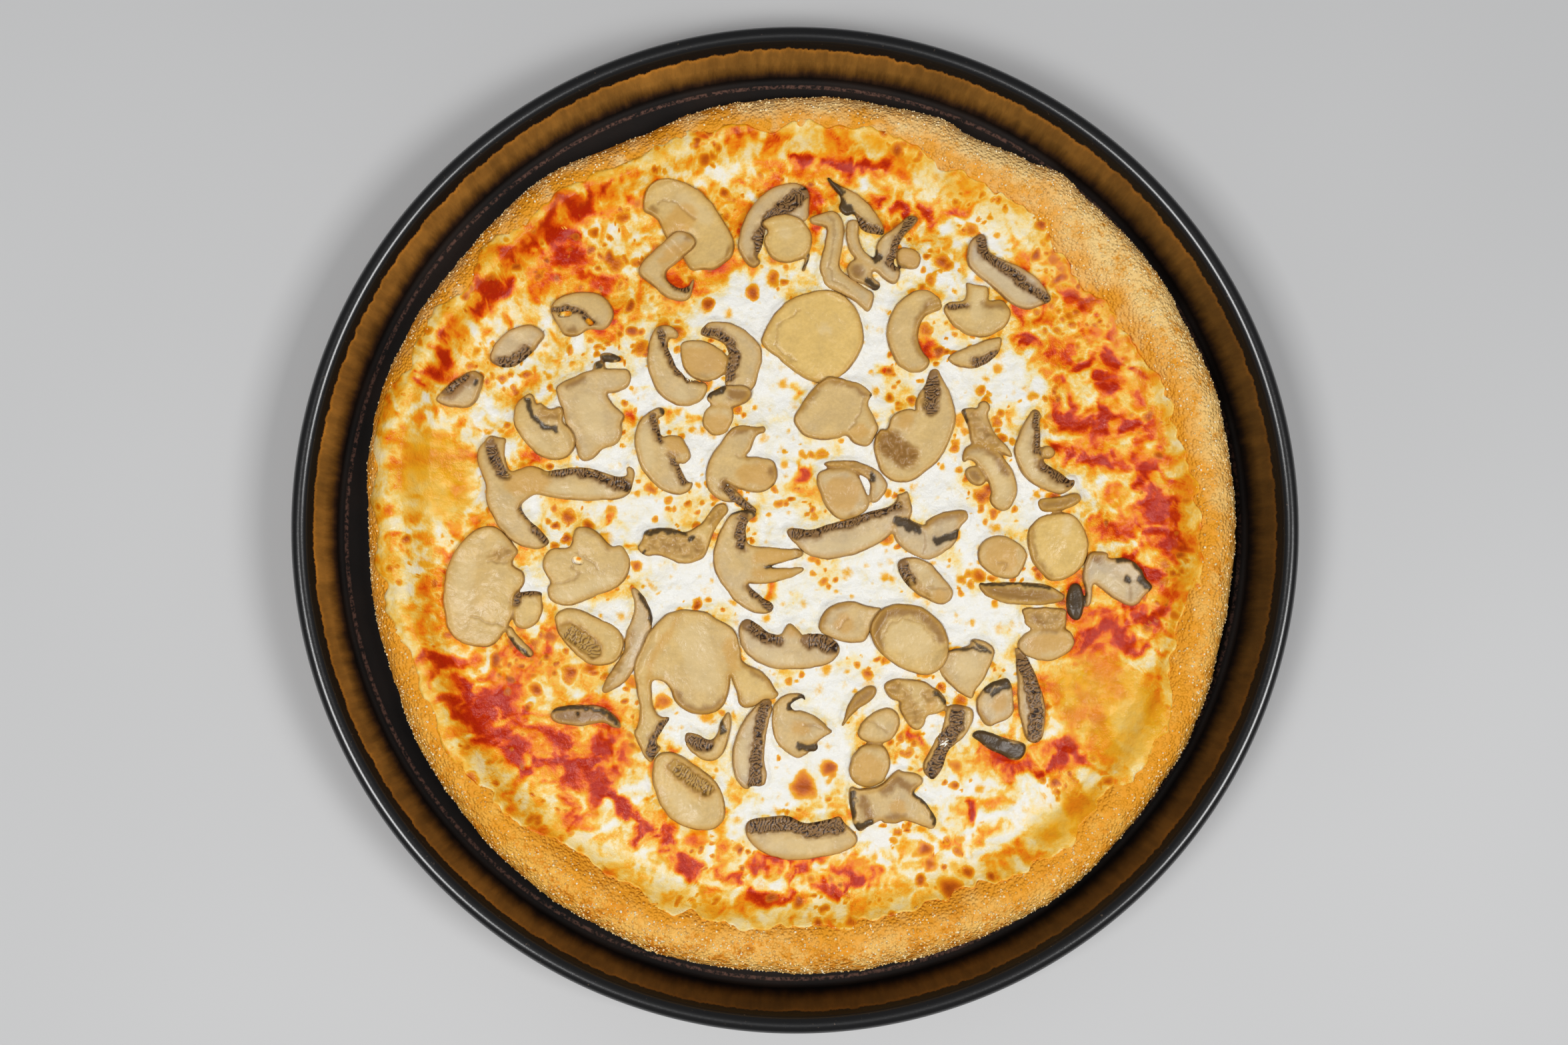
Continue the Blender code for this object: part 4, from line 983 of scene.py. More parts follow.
def buildCheese():
    def outline(x, y):
        angle, radius = polar(x, y)
        return radius - cheeseEdge(angle) - 1.6 * layeredNoise((x, y), 8, 2, 151)
    x, y, kept, number = sheetCells(outline, topping["cheeseBox"], topping["cheeseStep"], 0.5)
    marks = toppingMarks(x, y)
    inside = np.maximum(-outline(x, y), 0)
    sauceTop = crust["flatTop"] + topping["sauceLift"] + topping["sauceThickness"]
    step = topping["cheeseThickness"] + topping["sauceLift"]
    height = sauceTop - 0.35 + (step + 0.47) * smoothStep(0, topping["cheeseTaper"], inside)
    height = height + toppingRelief(x, y, marks)
    height = height + 0.8 * slicesNear(x, y, 2.6)
    mesh = basedMesh("cheese_layer", x, y, kept, number, height, crust["flatTop"] - 0.6)
    extra = len(mesh.vertices) - len(x)
    writeMarks(mesh, {name: np.concatenate([v, np.zeros(extra)]) for name, v in marks.items()})
    material = toppingMaterial("meltedCheese", 0.0008)
    return newPiece("cheese_layer", mesh, material, "melted_cheese", "cheese")


# Mushrooms: slices lying on the topping, later ones over earlier ones

mushrooms = {
    "step": 0.46, "thickness": 2.5, "edgeRound": 1.3, "overlap": 1.2, "climb": 1.9, "sunk": 0.9,
    "gillPitch": 0.95, "gillDepth": 0.9, "outlineWobble": 0.28,
    "fleshGrey": "ccb99c", "flesh": "d6b67c", "fleshYellow": "e2bd70", "rim": "8a5a22", "nearRim": "c8963e",
    "gillDark": "301e10", "gillLight": "8e6a40", "windowDark": "74521e", "windowLight": "bc9248",
    # the near-black colour serves both dark flesh and painted shade in creases and cuts
    # the pale colour serves both pale flesh and painted highlights
    "brown": "8e6028", "warm": "d29a3e", "pale": "e2c894", "dark": "1f1917",
    "edgeSeed": 200, "lobeBlend": 1.6, "boxMargin": 1.5,
    "mottleSize": 0.007, "fibreSize": 0.0012,      # sizes of the patterns, in metres
    "cuts": {"dark": (0.85, 0.35), "slit": (1.0, 1.8)},        # how dark (dark strokes: dark flesh and painted shade in the crease; slit: painted shade in the cut), and how deep in mm
}
# Each slice: tone from grey 0 to yellow 1, lobes, then strokes (kind, width, points along it)
# dark strokes mark dark flesh and painted shade in creases; slit strokes mark painted shade in cuts
# pale strokes mark pale flesh and painted highlights
slices = {
    "whole_slice_big_crown": (0.75, [
        ("shape", -58, 122.5, -56.5, 128, -52, 131, -47.5, 132, -41.5, 130.5, -36.5, 128, -32, 123.5, -28,
         117.5, -25, 113, -22.5, 107, -23.5, 103, -26.5, 99.5, -31, 97, -36, 97.5, -39, 97, -41.5, 100,
         -44, 104, -50, 110.5, -51, 115, -52.5, 117, -55, 118.5, -57.5, 119.5)], [
        ("warm", 9, -47, 112, -42, 118), ("line", 1, -52, 123, -46.5, 123.5, -38, 117),
        ("brown", 3, -54, 120), ("brown", 2, -24, 106, -28, 99), ("pale", 5, -42, 124, -34, 117)]),
    "whole_slice_hooked": (0.4, [
        ("shape", -42, 112, -39, 110.5, -37, 107.5, -39, 104.5, -42.5, 102, -47.5, 98, -49, 96, -48, 93,
         -44, 90, -40, 91, -39.5, 93, -38, 94.5, -39, 89.5, -40, 86, -43.5, 85, -48.5, 86.5, -52.5, 90,
         -57.5, 94, -59.5, 96, -59, 99, -56, 103, -52.5, 105.5, -49, 109, -45.5, 112)], [
        ("gill", 2.4, -48.5, 95, -46, 91.5, -41, 90), ("brown", 3, -40, 109.5),
        ("warm", 4, -50, 101, -42, 106)]),
    "cap_slice_top": (0.35, [
        ("shape", -15.5, 97.5, -19, 99.5, -21, 103.5, -22, 108, -21, 112.5, -19.5, 117, -15.5, 123.5,
         -10.5, 128, -5.5, 130.5, -1.5, 131, 3, 130, 5, 127.5, 5, 122.5, 5, 116, 0, 115, -8, 114, -11.5,
         113, -12.5, 106, -15, 102.5, -13, 100.5)], [
        ("gill", 5.5, -13.5, 104, -13, 110, -9, 117, -2, 123, 3, 127), ("brown", 4, -17, 100)]),
    "disc_slice_on_cap": (0.8, [
        ("shape", -12.5, 116, -7.5, 118, -2, 118.5, 3, 116, 6.5, 111.5, 6.5, 107, 5, 103.5, 1.5, 100.5,
         -4, 99.5, -8.5, 101, -11.5, 105, -12, 109, -10, 112, -13, 114),
        ("bar", 4.9, 103, 2.8, 97.5, 1.2)], [
        ("dark", 0.9, 3, 97.5, 5, 102.5), ("pale", 5, -4, 111)]),
    "gill_slice_long": (0.45, [
        ("shape", 12, 133.5, 15.5, 130.5, 20, 128.5, 23.5, 127, 28, 123, 31.5, 118, 33.5, 113, 33, 110.5,
         29, 111.5, 25, 112.5, 23, 116, 22, 119, 19, 117.5, 15.5, 121, 17.5, 125, 14.5, 128, 12.5, 131),
        ("shape", 5, 117.5, 11, 120, 15, 120.5, 17.5, 117.5, 18.5, 113.5, 18, 109, 17, 104, 16, 99.5,
         17.5, 97, 22.5, 93.5, 26, 91, 30, 89.5, 29.5, 84.5, 27.5, 81, 25.5, 82, 22.5, 85.5, 16.5, 88.5,
         11, 90.5, 9.5, 95.5, 8.5, 99, 10, 104, 11.5, 110, 12, 114, 8, 114.5, 5.5, 115)], [
        ("dark", 4, 12.5, 133, 17, 127), ("dark", 4, 16, 123.5, 21, 119),
        ("gill", 3, 23, 117, 26, 113.5, 33, 111.5),
        ("line", 1, 12, 119, 14.5, 113, 14, 107, 12.5, 100, 14, 93, 20, 90)]),
    "gill_slice_curled": (0.3, [
        ("shape", 44, 119, 47, 117.5, 44.5, 114, 41.5, 111, 39.5, 108, 37.5, 104, 37, 99.5, 40, 98, 39.5,
         94.5, 37.5, 91.5, 34, 93, 31, 96, 30, 99, 30, 105, 31, 109, 33.5, 111, 37.5, 114, 41, 117.5),
        ("arc", 21.5, 114.5, 22, 107, 31, 99, 4.6),
        ("shape", 38.5, 107, 47.5, 105, 47, 97.5, 40, 97.5, 37.5, 100),
        ("disc", 24, 97, 5, 4.4, -20),
        ("bar", 26.5, 94, 30, 91.5, 4)], [
        ("gill", 2.6, 44.5, 118, 40, 111.5, 37, 105.5, 35.5, 99.5, 39.5, 98),
        ("dark", 3.5, 29.5, 104, 31, 101.5), ("dark", 2.6, 27, 93, 31, 90), ("warm", 8, 42.5, 102),
        ("brown", 5, 23, 97)]),
    "disc_slice_big": (1.0, [
        ("shape", -13.5, 70, -11.5, 75, -8, 81.5, -3, 86, 4, 89, 11, 90, 17.5, 88.5, 22, 84, 25, 78.5, 26,
         72, 24.5, 66, 20.5, 60, 16.5, 56, 11.5, 53.5, 7, 54.5, -1, 58.5, -6.5, 63.5, -11.5, 67)], [
        ("pale", 4, 11, 75), ("line", 0.7, 2, 82, -6, 77, -8, 69, 0, 62)]),
    "cap_slice_open": (0.6, [
        ("shape", 48, 90.5, 52, 89, 55, 86.5, 55.5, 82.5, 51.5, 81.5, 48.5, 80, 46.5, 76, 46, 71, 48,
         66.5, 50.5, 64, 50.5, 60.5, 47, 58.5, 43, 58.5, 38.5, 61.5, 35, 67, 34, 73, 35, 80, 39, 86, 43.5,
         89.5)], [
        ("brown", 2.2, 49.5, 84, 46.5, 78.5, 45, 71, 47, 66, 50, 63), ("frill", 5, 52.5, 84.5)]),
    "whole_slice_anchor": (0.7, [
        ("shape", 64, 93.5, 67.5, 92, 73, 92, 73, 88.5, 72.5, 85.5, 78, 87, 80.5, 84.5, 81.5, 81.5, 80.5,
         77, 77, 74, 71.5, 72, 65.5, 72.5, 60.5, 75.5, 56.5, 80, 55.5, 83.5, 58, 86, 64, 85.5, 64.5,
         89.5)], [
        ("gill", 1.8, 57, 84, 64, 83.5), ("brown", 3, 57, 84, 64, 83.5), ("brown", 3.5, 72, 84.5, 80, 84),
        ("pale", 5, 68.5, 88, 68, 81)]),
    "cap_slice_slim": (0.55, [
        ("shape", 57, 64.5, 62, 67.5, 68.5, 70, 74.5, 72, 78, 72.5, 78, 69, 77, 66, 73.5, 62.5, 67.5, 60,
         62, 60.5, 58.5, 62)], [
        ("gill", 2.6, 67.5, 62, 71, 63.5, 76.5, 66)]),
    "cap_slice_grey": (0.05, [
        ("shape", 70, 112, 72.5, 110.5, 72.5, 105.5, 76.5, 103, 85, 99, 91, 95.5, 95, 90.5, 97.5, 86.5,
         93, 84, 88, 82.5, 83, 83.5, 79.5, 86.5, 73.5, 91.5, 68.5, 95.5, 65, 99, 64.5, 104, 65.5,
         108.5)], [
        ("gill", 3.6, 70.5, 110.5, 71, 105, 75, 101, 81, 97.5, 88, 91, 96.5, 86.5),
        ("pale", 6, 70, 99, 84, 87)]),
    "whole_slice_arch": (0.55, [
        ("shape", -93, 83, -90.5, 86.5, -85.5, 88.5, -80, 89.5, -74, 88.5, -69.5, 84.5, -68, 80, -70,
         75.5, -73, 74, -78, 75, -81, 72, -84.5, 71.5, -88, 72.5, -89, 75.5, -91.5, 79)], [
        ("hole", 2.4, -88.5, 80.3, -85.5, 80.6), ("hole", 2.2, -78.2, 77.8, -77.2, 76.8),
        ("gill", 1.8, -92, 81.5, -86, 82.8, -80, 80.5, -76, 77), ("brown", 5, -84.5, 73)]),
    "cap_slice_oval": (0.35, [
        ("shape", -115.5, 63.5, -114.5, 67.5, -111, 72.5, -106, 75.5, -100.5, 77, -96.5, 75.5, -94, 72.5,
         -96.5, 69.5, -100.5, 65, -104, 61.5, -109, 60, -113.5, 61)], [
        ("gill", 4.5, -112, 61.5, -106, 62.5, -101, 66), ("pale", 4, -104, 73)]),
    "gill_slice_outer": (0.25, [
        ("shape", -136, 47.5, -132, 52, -127.5, 56.5, -121.5, 59.5, -117.5, 57.5, -117.5, 55, -119, 50,
         -121.5, 45.5, -127.5, 45, -132, 45.5)], [
        ("brown", 5, -130, 50, -124, 56, -119, 57), ("gill", 3, -131, 51.5, -124, 57),
        ("pale", 3, -128, 47.5), ("dark", 2, -119.5, 54.5)]),
    "cap_slice_broad": (0.45, [
        ("shape", -90.5, 53, -85.5, 56, -78, 59, -72, 60, -65.5, 60, -62.5, 59.5, -61.5, 55.5, -63.5,
         52.5, -68.5, 50.5, -71, 50.5, -70, 48, -67, 44, -64, 42, -66, 39, -65, 34.5, -68, 30.5, -72,
         29.5, -77, 25, -81, 25, -83, 30.5, -85.5, 35.5, -87.5, 42, -89.5, 49),
        ("disc", -69.5, 63.8, 4, 1.8, -10),
        ("disc", -74, 60.6, 2, 2, 0)], [
        ("dark", 3, -72, 63.5, -67, 64), ("dark", 3, -74.5, 60.8), ("pale", 8, -78, 46, -75, 38),
        ("brown", 2.4, -86, 53, -80, 56)]),
    "cap_slice_folded": (0.6, [
        ("shape", -101, 50.5, -98.5, 50, -97.5, 46, -96, 47.5, -92.5, 44.5, -88.5, 45.5, -87.5, 43.5, -88,
         39.5, -84.5, 37, -82.5, 33.5, -83, 29.5, -85.5, 26, -90.5, 25, -96.5, 26.5, -101, 30.5, -104.5,
         35.5, -106.5, 40.5, -105.5, 46)], [
        ("dark", 2, -101, 48, -98.5, 42, -95, 38, -90, 36.5), ("frill", 5, -94, 43, -89.5, 43),
        ("pale", 4, -100, 34, -94, 30)]),
    "cap_slice_pair": (0.45, [
        ("shape", -52, 76, -47.5, 76.5, -44.5, 74, -44.5, 71, -47.5, 71.5, -48.5, 69, -46.5, 63.5, -44,
         59, -39, 56, -34, 56, -33, 51, -36, 46.5, -43, 45, -49, 47.5, -52.5, 51.5, -55, 57.5, -56.5,
         63.5, -55.5, 69, -54, 74)], [
        ("gill", 2.4, -51, 74, -49.5, 69, -47, 63, -44.5, 59, -40, 56, -34, 55.5), ("pale", 5, -43, 50)]),
    "whole_slice_barrel": (0.4, [
        ("shape", -36.5, 73, -34, 77, -29, 78, -23, 77, -17.5, 73.5, -14, 69.5, -12.5, 65, -13.5, 59.5,
         -15, 53.5, -18.5, 49.5, -24, 50, -27.5, 53.5, -26, 58, -25, 64, -26, 68.5, -30, 71, -33.5, 72),
        ("shape", -43.5, 70, -36.5, 71, -31, 69, -26, 65.5, -25, 60.5, -28, 56.5, -32, 55, -38.5, 55.5,
         -42.5, 59.5, -43.5, 65.5)], [
        ("gill", 3.2, -35, 74, -29, 73, -24.5, 69.5, -23, 63.5, -24.5, 57.5, -28, 54),
        ("warm", 10, -39, 63, -30, 63)]),
    "stem_piece_pair": (0.4, [
        ("disc", -25, 49.3, 8.6, 4.4, 8),
        ("shape", -35, 43, -33, 46, -28.5, 46.5, -23.5, 45.5, -23, 42, -24, 37.5, -27, 34.5, -32, 34.5,
         -35.5, 38.5)], [
        ("dark", 3, -32, 50, -28, 52.5), ("brown", 4, -24, 50, -19, 49), ("warm", 9, -29.5, 38.5),
        ("pale", 2.5, -33, 43.5, -28, 41.5, -24, 44)]),
    "cap_slice_left_middle": (0.5, [
        ("shape", -52.5, 45, -49.5, 45, -49.5, 42, -52, 41, -51.5, 37.5, -50.5, 34, -47.5, 35, -43.5,
         34.5, -41, 31, -39, 26.5, -41.5, 23.5, -44.5, 24.5, -42.5, 20, -40.5, 17, -38.5, 17, -40, 13.5,
         -44, 12, -49.5, 13.5, -54, 17, -58, 22, -60.5, 28, -61, 33.5, -59.5, 39.5, -56.5, 43)], [
        ("gill", 2.2, -54, 42, -52.5, 37, -51, 33), ("gill", 2.2, -46.5, 26.5, -44, 21, -42, 17),
        ("dark", 2, -50.5, 44), ("warm", 8, -45, 31), ("pale", 4, -57, 34, -55, 24)]),
    "whole_slice_middle": (0.45, [
        ("shape", -23.5, 38, -19.5, 39, -14.5, 38, -11.5, 38.5, -11, 35.5, -14.5, 35, -16, 32, -17, 29,
         -19.5, 26.5, -13.5, 26.5, -8.5, 26, -6.5, 21.5, -7.5, 16.5, -11, 13.5, -16.5, 13, -21.5, 14.5,
         -25.5, 17, -27, 16, -23.5, 12, -22.5, 10.5, -25, 9, -29, 10.5, -33, 14, -34, 20, -32.5, 26.5,
         -28.5, 32, -25.5, 36),
        ("bar", -25, 13.5, -16.5, 6, 3.5)], [
        ("gill", 3, -27, 15.5, -23, 11, -19, 8, -16, 5.5), ("line", 1, -22.5, 27, -17.5, 26),
        ("brown", 4, -8, 21), ("dark", 1.5, -7.5, 16, -10, 13.5), ("brown", 3, -24, 36, -17, 38, -12, 37),
        ("warm", 8, -18, 20, -12, 20)]),
    "frill_slice_middle": (0.75, [
        ("shape", -57, -1.5, -54, -0.5, -49.5, 0.5, -44.5, -1, -41.5, -2, -38.5, -0.5, -35, 1.5, -33, 4.5,
         -31, 8.5, -28, 9.5, -25.5, 8.5, -25, 5.5, -28.5, 2.5, -31, -2.5, -32.5, -7, -34, -11, -38.5,
         -13.5, -43.5, -14, -47.5, -12, -52.5, -10, -56, -11.5, -60, -8, -57.5, -5)], [
        ("frill", 8, -54, -5, -38, -8), ("dark", 2, -56.5, -2, -50, -1, -42, -2.5),
        ("dark", 1.4, -58, -10, -56.5, -8.5), ("dark", 2.4, -39.5, -4), ("frill", 5, -31, 3, -28, 7)]),
    "cap_slice_rounded": (0.55, [
        ("shape", -1.5, 41.5, 2.5, 47.5, 6, 52.5, 11.5, 57, 15, 56.5, 19.5, 55.5, 24, 54.5, 28, 51.5,
         29.5, 50, 27, 47.5, 28.5, 44, 30, 40, 31.5, 37, 29, 32, 27, 30, 22, 31.5, 19, 35.5, 15.5, 33.5,
         10.5, 32.5, 4, 34, 0, 37.5),
        ("shape", 28, 48.5, 32, 47, 37, 47.5, 38.5, 45.5, 35.5, 41.5, 34.5, 38, 30.5, 41)], [
        ("brown", 2.4, 0, 43, 4, 48.5, 10, 55), ("brown", 2, 12, 55.5, 20, 54, 27, 50),
        ("dark", 2, 29, 50), ("line", 1, 26, 49, 25, 44, 20, 37), ("warm", 6, 24, 36),
        ("brown", 5, 33.5, 44)]),
    "stem_piece_barrel": (0.35, [
        ("shape", 7.5, 19.5, 9, 21.5, 15.5, 23, 20.5, 22.5, 23.5, 19.5, 26.5, 13.5, 28, 7.5, 24, 4, 18, 2,
         14, 4, 10.5, 9.5, 8, 15.5),
        ("shape", 9.5, 23, 12, 25.5, 21.5, 25.5, 26, 24, 31, 22, 34, 18.5, 34.5, 14.5, 31.5, 10, 28.5, 9,
         27.5, 12, 28, 17, 25, 20, 20, 22)], [
        ("warm", 13, 17, 13), ("frill", 4, 11, 24, 20, 24.5, 27, 22), ("dark", 1.6, 28.5, 20.5, 28.5, 18),
        ("brown", 3, 21, 4), ("pale", 3, 31.5, 15)]),
    "whole_slice_heart": (0.55, [
        ("shape", 50, 59.5, 53.5, 60.5, 55, 57, 57.5, 52.5, 60, 45.5, 60.5, 40, 58.5, 33, 55, 27, 49.5,
         21.5, 44.5, 17.5, 39.5, 16.5, 35, 18, 31, 22.5, 29, 28, 29.5, 34, 32, 37.5, 34.5, 37, 35.5, 41.5,
         38.5, 44, 42.5, 45, 45.5, 44, 45, 46, 46, 50.5, 49, 54)], [
        ("gill", 5, 51, 57, 51, 50, 50.5, 45), ("frill", 4, 47, 48), ("brown", 9, 34, 33, 41, 27),
        ("frill", 9, 33, 33.5, 38, 29.5, 42, 26.5), ("line", 1, 37, 37, 41, 33, 44, 27),
        ("warm", 6, 41, 40)]),
    "cap_slice_long": (0.25, [
        ("shape", -4, -1.5, -2, 0, 1, -0.5, 6, -1, 11.5, 1, 17, 2.5, 22, 4, 29, 7, 36, 8, 38.5, 10.5, 38,
         12.5, 40.5, 13, 42, 14.5, 43, 10.5, 44, 7, 42.5, 3, 38, 3.5, 36, -3, 30, -6.5, 22, -10.5, 12.5,
         -12, 6, -11, 2.5, -9, -2, -4.5),
        ("shape", 36, 3.5, 39.5, 4.5, 46, 1.5, 48.5, 1, 49, 3, 54, 6, 64, 7.5, 65.5, 3.5, 61, 0, 61, -4,
         58, -8, 52.5, -11, 49.5, -12.5, 44.5, -11, 39.5, -7, 36.5, -3)], [
        ("gill", 3.4, -2, -2, 6, -2.5, 12, 0, 22, 2.5, 30, 5.5, 38, 8), ("frill", 5, 41, 9),
        ("dark", 4, 38.5, 2.5, 45.5, -0.5), ("dark", 3, 53, -5, 60.5, -2),
        ("brown", 2.6, 49.5, 1.5, 56, 4.5, 63, 6), ("warm", 3, 62, 4), ("pale", 4, 5, -8, 20, -7, 32, -3),
        ("line", 1, 48, -1, 48, -10)]),
    "whole_slice_forked": (0.45, [
        ("shape", -19.5, 6.5, -16, 6.5, -15, 4.5, -18, 2.5, -19, -0.5, -18.5, -5.5, -16.5, -7, -9.5, -7,
         -4, -7.5, 2, -8, 3, -10.5, 0, -12, -6, -13.5, -10.5, -15, -4, -15, 3, -14.5, 3, -16.5, -1, -18.5,
         -9.5, -21, -15.5, -21.5, -18.5, -21, -12.5, -26.5, -8.5, -28.5, -9, -31.5, -12.5, -32.5, -17.5,
         -31.5, -23, -27.5, -28, -21.5, -31, -15, -31, -8, -29, -1.5, -25, 4.5, -22.5, 6)], [
        ("gill", 3.4, -19.5, 4, -21, -1, -20.5, -7), ("dark", 1.6, -24, 5, -20, 6.5, -15.5, 5),
        ("dark", 1.4, -11, -14.8, -5, -13.8, 1, -11.8), ("gill", 3.6, -17, -22.5, -13, -26, -9, -30),
        ("brown", 3, 2, -9), ("warm", 5, -14, -11, -4, -10), ("warm", 4, -14, -17, -3, -16.5)]),
    "cap_slice_bent": (0.45, [
        ("shape", 62, 44.5, 66, 45.5, 68.5, 45, 69, 47.5, 72, 48, 73.5, 45, 72, 43, 73, 40.5, 74.5, 36,
         77.5, 33, 81.5, 29, 82, 26, 78.5, 27.5, 74.5, 29.5, 70, 31, 66, 32, 65.5, 37, 63.5, 41.5),
        ("shape", 62.5, 28, 64.5, 31, 69.5, 32, 74.5, 30.5, 79.5, 25.5, 83, 19.5, 83.5, 13.5, 81.5, 8, 78,
         6, 74.5, 7, 72.5, 10.5, 73.5, 13.5, 71, 19.5, 68, 24.5, 65, 26, 63, 24.5),
        ("shape", 63, 21, 66, 23.5, 69.5, 22.5, 72.5, 17.5, 69.5, 15.5, 66, 16.5)], [
        ("brown", 2.4, 63.5, 28, 68, 31, 75, 27.5, 79.5, 21), ("frill", 6, 66, 43, 68, 37, 74, 32),
        ("dark", 1.4, 63, 44, 64.5, 40), ("brown", 5, 67, 19.5), ("pale", 4, 73, 24, 78, 14),
        ("brown", 1.6, 73.5, 8, 73, 14)]),
    "cap_slice_right": (0.4, [
        ("shape", 82, 28, 82.5, 31.5, 84.5, 37, 88, 43, 90.5, 45.5, 93.5, 42, 92, 40.5, 92.5, 35.5, 92,
         30, 93, 25.5, 96, 23, 99.5, 21.5, 103, 18, 105.5, 18.5, 105, 15.5, 101.5, 12.5, 98, 12.5, 92, 15,
         87, 18, 83.5, 23),
        ("disc", 95.1, 28.6, 2.9, 2.6, 0)], [
        ("gill", 2.6, 90.5, 43, 91, 36, 91, 29), ("gill", 4, 93, 24.5, 97, 20.5, 103, 17),
        ("warm", 4, 95, 28.5), ("pale", 4, 84.5, 30, 90, 19)]),
    "disc_slice_golden": (1.0, [
        ("shape", 90.5, 10, 93, 11.5, 99, 11.5, 105.5, 13.5, 107.5, 12.5, 107.5, 10, 102.5, 7, 97, 6, 92,
         6),
        ("shape", 87, -5, 87.5, 0.5, 92, 4.5, 99, 6, 104.5, 5.5, 108.5, 0.5, 110.5, -5, 109.5, -12, 106.5,
         -16.5, 100.5, -20, 95.5, -20.5, 91, -16, 88, -11)], [
        ("brown", 4, 92, 8.6, 99, 9, 105, 11), ("pale", 3, 102.5, 4, 101.5, -1.5),
        ("brown", 1.2, 88, 2, 90, -12, 95, -18)]),
    "disc_slice_brown": (0.55, [
        ("shape", 67.5, -9, 70.5, -4, 77, -2.5, 83.5, -5, 87.5, -10, 85.5, -15.5, 82.5, -19.5, 75.5, -19,
         70, -15)], [
        ("warm", 13, 77, -11), ("line", 1, 76, -13, 79, -13.5, 78.5, -16), ("pale", 4, 74, -7)]),
    "cap_slice_far_right": (0.15, [
        ("shape", 108, -14.5, 110, -9, 114.5, -8.5, 118, -9.5, 117.5, -11.5, 122, -11, 127, -12, 131, -16,
         131.5, -19, 135, -21.5, 134.5, -23.5, 131, -25.5, 129, -29, 125, -29.5, 119, -26, 113.5, -22.5,
         112, -21, 111.5, -26, 110.5, -29.5, 108.5, -30, 109, -23, 107.5, -18.5),
        ("shape", 101.5, -26.5, 103, -21.5, 106.5, -20.5, 108.5, -25.5, 108.5, -31.5, 105.5, -35.5, 102,
         -32)], [
        ("dark", 7.5, 105, -24, 105.3, -32), ("dark", 2, 121, -11.5, 127, -12.5, 131, -17),
        ("dark", 4, 130.5, -19, 134, -22.5), ("dark", 3, 125, -19.5), ("line", 1, 126.5, -22, 126, -26.5),
        ("brown", 5, 113.5, -10.5), ("pale", 5, 114, -19, 122, -23)]),
    "gill_slice_brown": (0.85, [
        ("shape", 68.5, -20.5, 71.5, -21, 79.5, -20.5, 89, -20.5, 95, -21.5, 101, -24.5, 101, -27.5, 97,
         -29, 89, -29.5, 79.5, -28.5, 72.5, -26.5, 69, -23)], [
        ("brown", 5, 72, -24, 85, -25.5, 98, -26.5), ("dark", 1.4, 69, -21, 80, -21, 95, -22.5),
        ("line", 1, 75, -24, 92, -26.5)]),
    "stem_piece_stack": (0.4, [
        ("shape", 84.5, -30, 92, -30, 101.5, -30, 102, -34, 101.5, -38.5, 93, -39, 86, -37.5, 85, -33),
        ("disc", 94, -43.3, 10.8, 6.6, 5)], [
        ("frill", 6, 88, -33.5, 98, -34), ("brown", 2, 89, -33, 92, -36),
        ("brown", 2, 92, -38.5, 101, -38), ("warm", 7, 90, -44, 99, -43), ("pale", 3, 88, -47, 99, -46)]),
    "cap_slice_browned": (0.35, [
        ("shape", 38, -13.5, 39.5, -11.5, 44.5, -11, 50.5, -13, 55, -18.5, 58.5, -22.5, 59, -26, 56, -29,
         52.5, -28.5, 49.5, -27, 46.5, -26, 43.5, -23.5, 40.5, -20, 38.5, -16.5)], [
        ("gill", 4.4, 40, -14.5, 42, -19.5), ("frill", 4.5, 43, -21.5, 48, -25.5),
        ("line", 1, 50, -23, 57, -22.5), ("warm", 5, 54, -25.5), ("pale", 4, 48, -15)]),
    "cap_slice_under_ring": (0.4, [
        ("shape", 8, -37, 9.5, -32.5, 13, -29, 18.5, -27.5, 24, -28, 29, -30, 33, -30, 30, -36, 27.5,
         -39.5, 26, -43, 21.5, -43.5, 15, -42.5, 9.5, -40)], [
        ("brown", 2, 9, -37, 12, -30.5, 19, -28.5), ("line", 0.8, 16, -38, 20, -34),
        ("warm", 7, 18, -36)]),
    "cap_slice_pale": (0.55, [
        ("shape", 57.5, -45.5, 62.5, -45, 65.5, -44, 65.5, -42, 68, -41.5, 73, -43.5, 75, -46, 74.5,
         -48.5, 72.5, -53, 69.5, -58.5, 67, -61, 66.5, -64, 65.5, -64.5, 60.5, -61.5, 56.5, -58, 54, -55,
         52, -51, 54, -47)], [
        ("pale", 9, 64, -52), ("dark", 0.9, 57.5, -46, 66, -45, 71, -46),
        ("dark", 0.9, 66, -42.5, 70, -44.5, 73.5, -47)]),
    "disc_slice_ringed": (0.7, [
        ("shape", 27.5, -37.5, 30, -32, 34, -29, 40, -28.5, 47, -29.5, 51.5, -32.5, 55.5, -36.5, 57.5,
         -42, 57.5, -45, 56.5, -50, 53.5, -54, 49, -55.5, 43, -54.5, 37, -51.5, 31.5, -47.5, 28.5,
         -43)], [
        ("brown", 4.5, 31, -45, 29.5, -38, 32.5, -32.5, 38, -30.5, 45, -31, 51, -35, 55, -41),
        ("pale", 11, 40, -41, 45, -43), ("line", 0.8, 33, -42, 34, -37, 40, -34, 47, -36, 52, -42)]),
    "cap_slice_smile": (0.3, [
        ("shape", -22, -38, -20.5, -35, -18, -34, -15.5, -35, -13, -37, -10, -39.5, -6, -40.5, -4.5, -38,
         -2.5, -35, 1.5, -39, 2.5, -40.5, 4.5, -39.5, 9, -40, 13, -41, 16.5, -44, 16.5, -47, 14, -50, 11,
         -51.5, 4.5, -53, -2.5, -53.5, -10, -52.5, -14, -51, -18, -48, -20.5, -44.5, -21.5, -41.5)], [
        ("gill", 4, -18, -36.5, -14, -39.5, -7.5, -42.3), ("gill", 5, 4.5, -42.5, 8, -42, 13.5, -45),
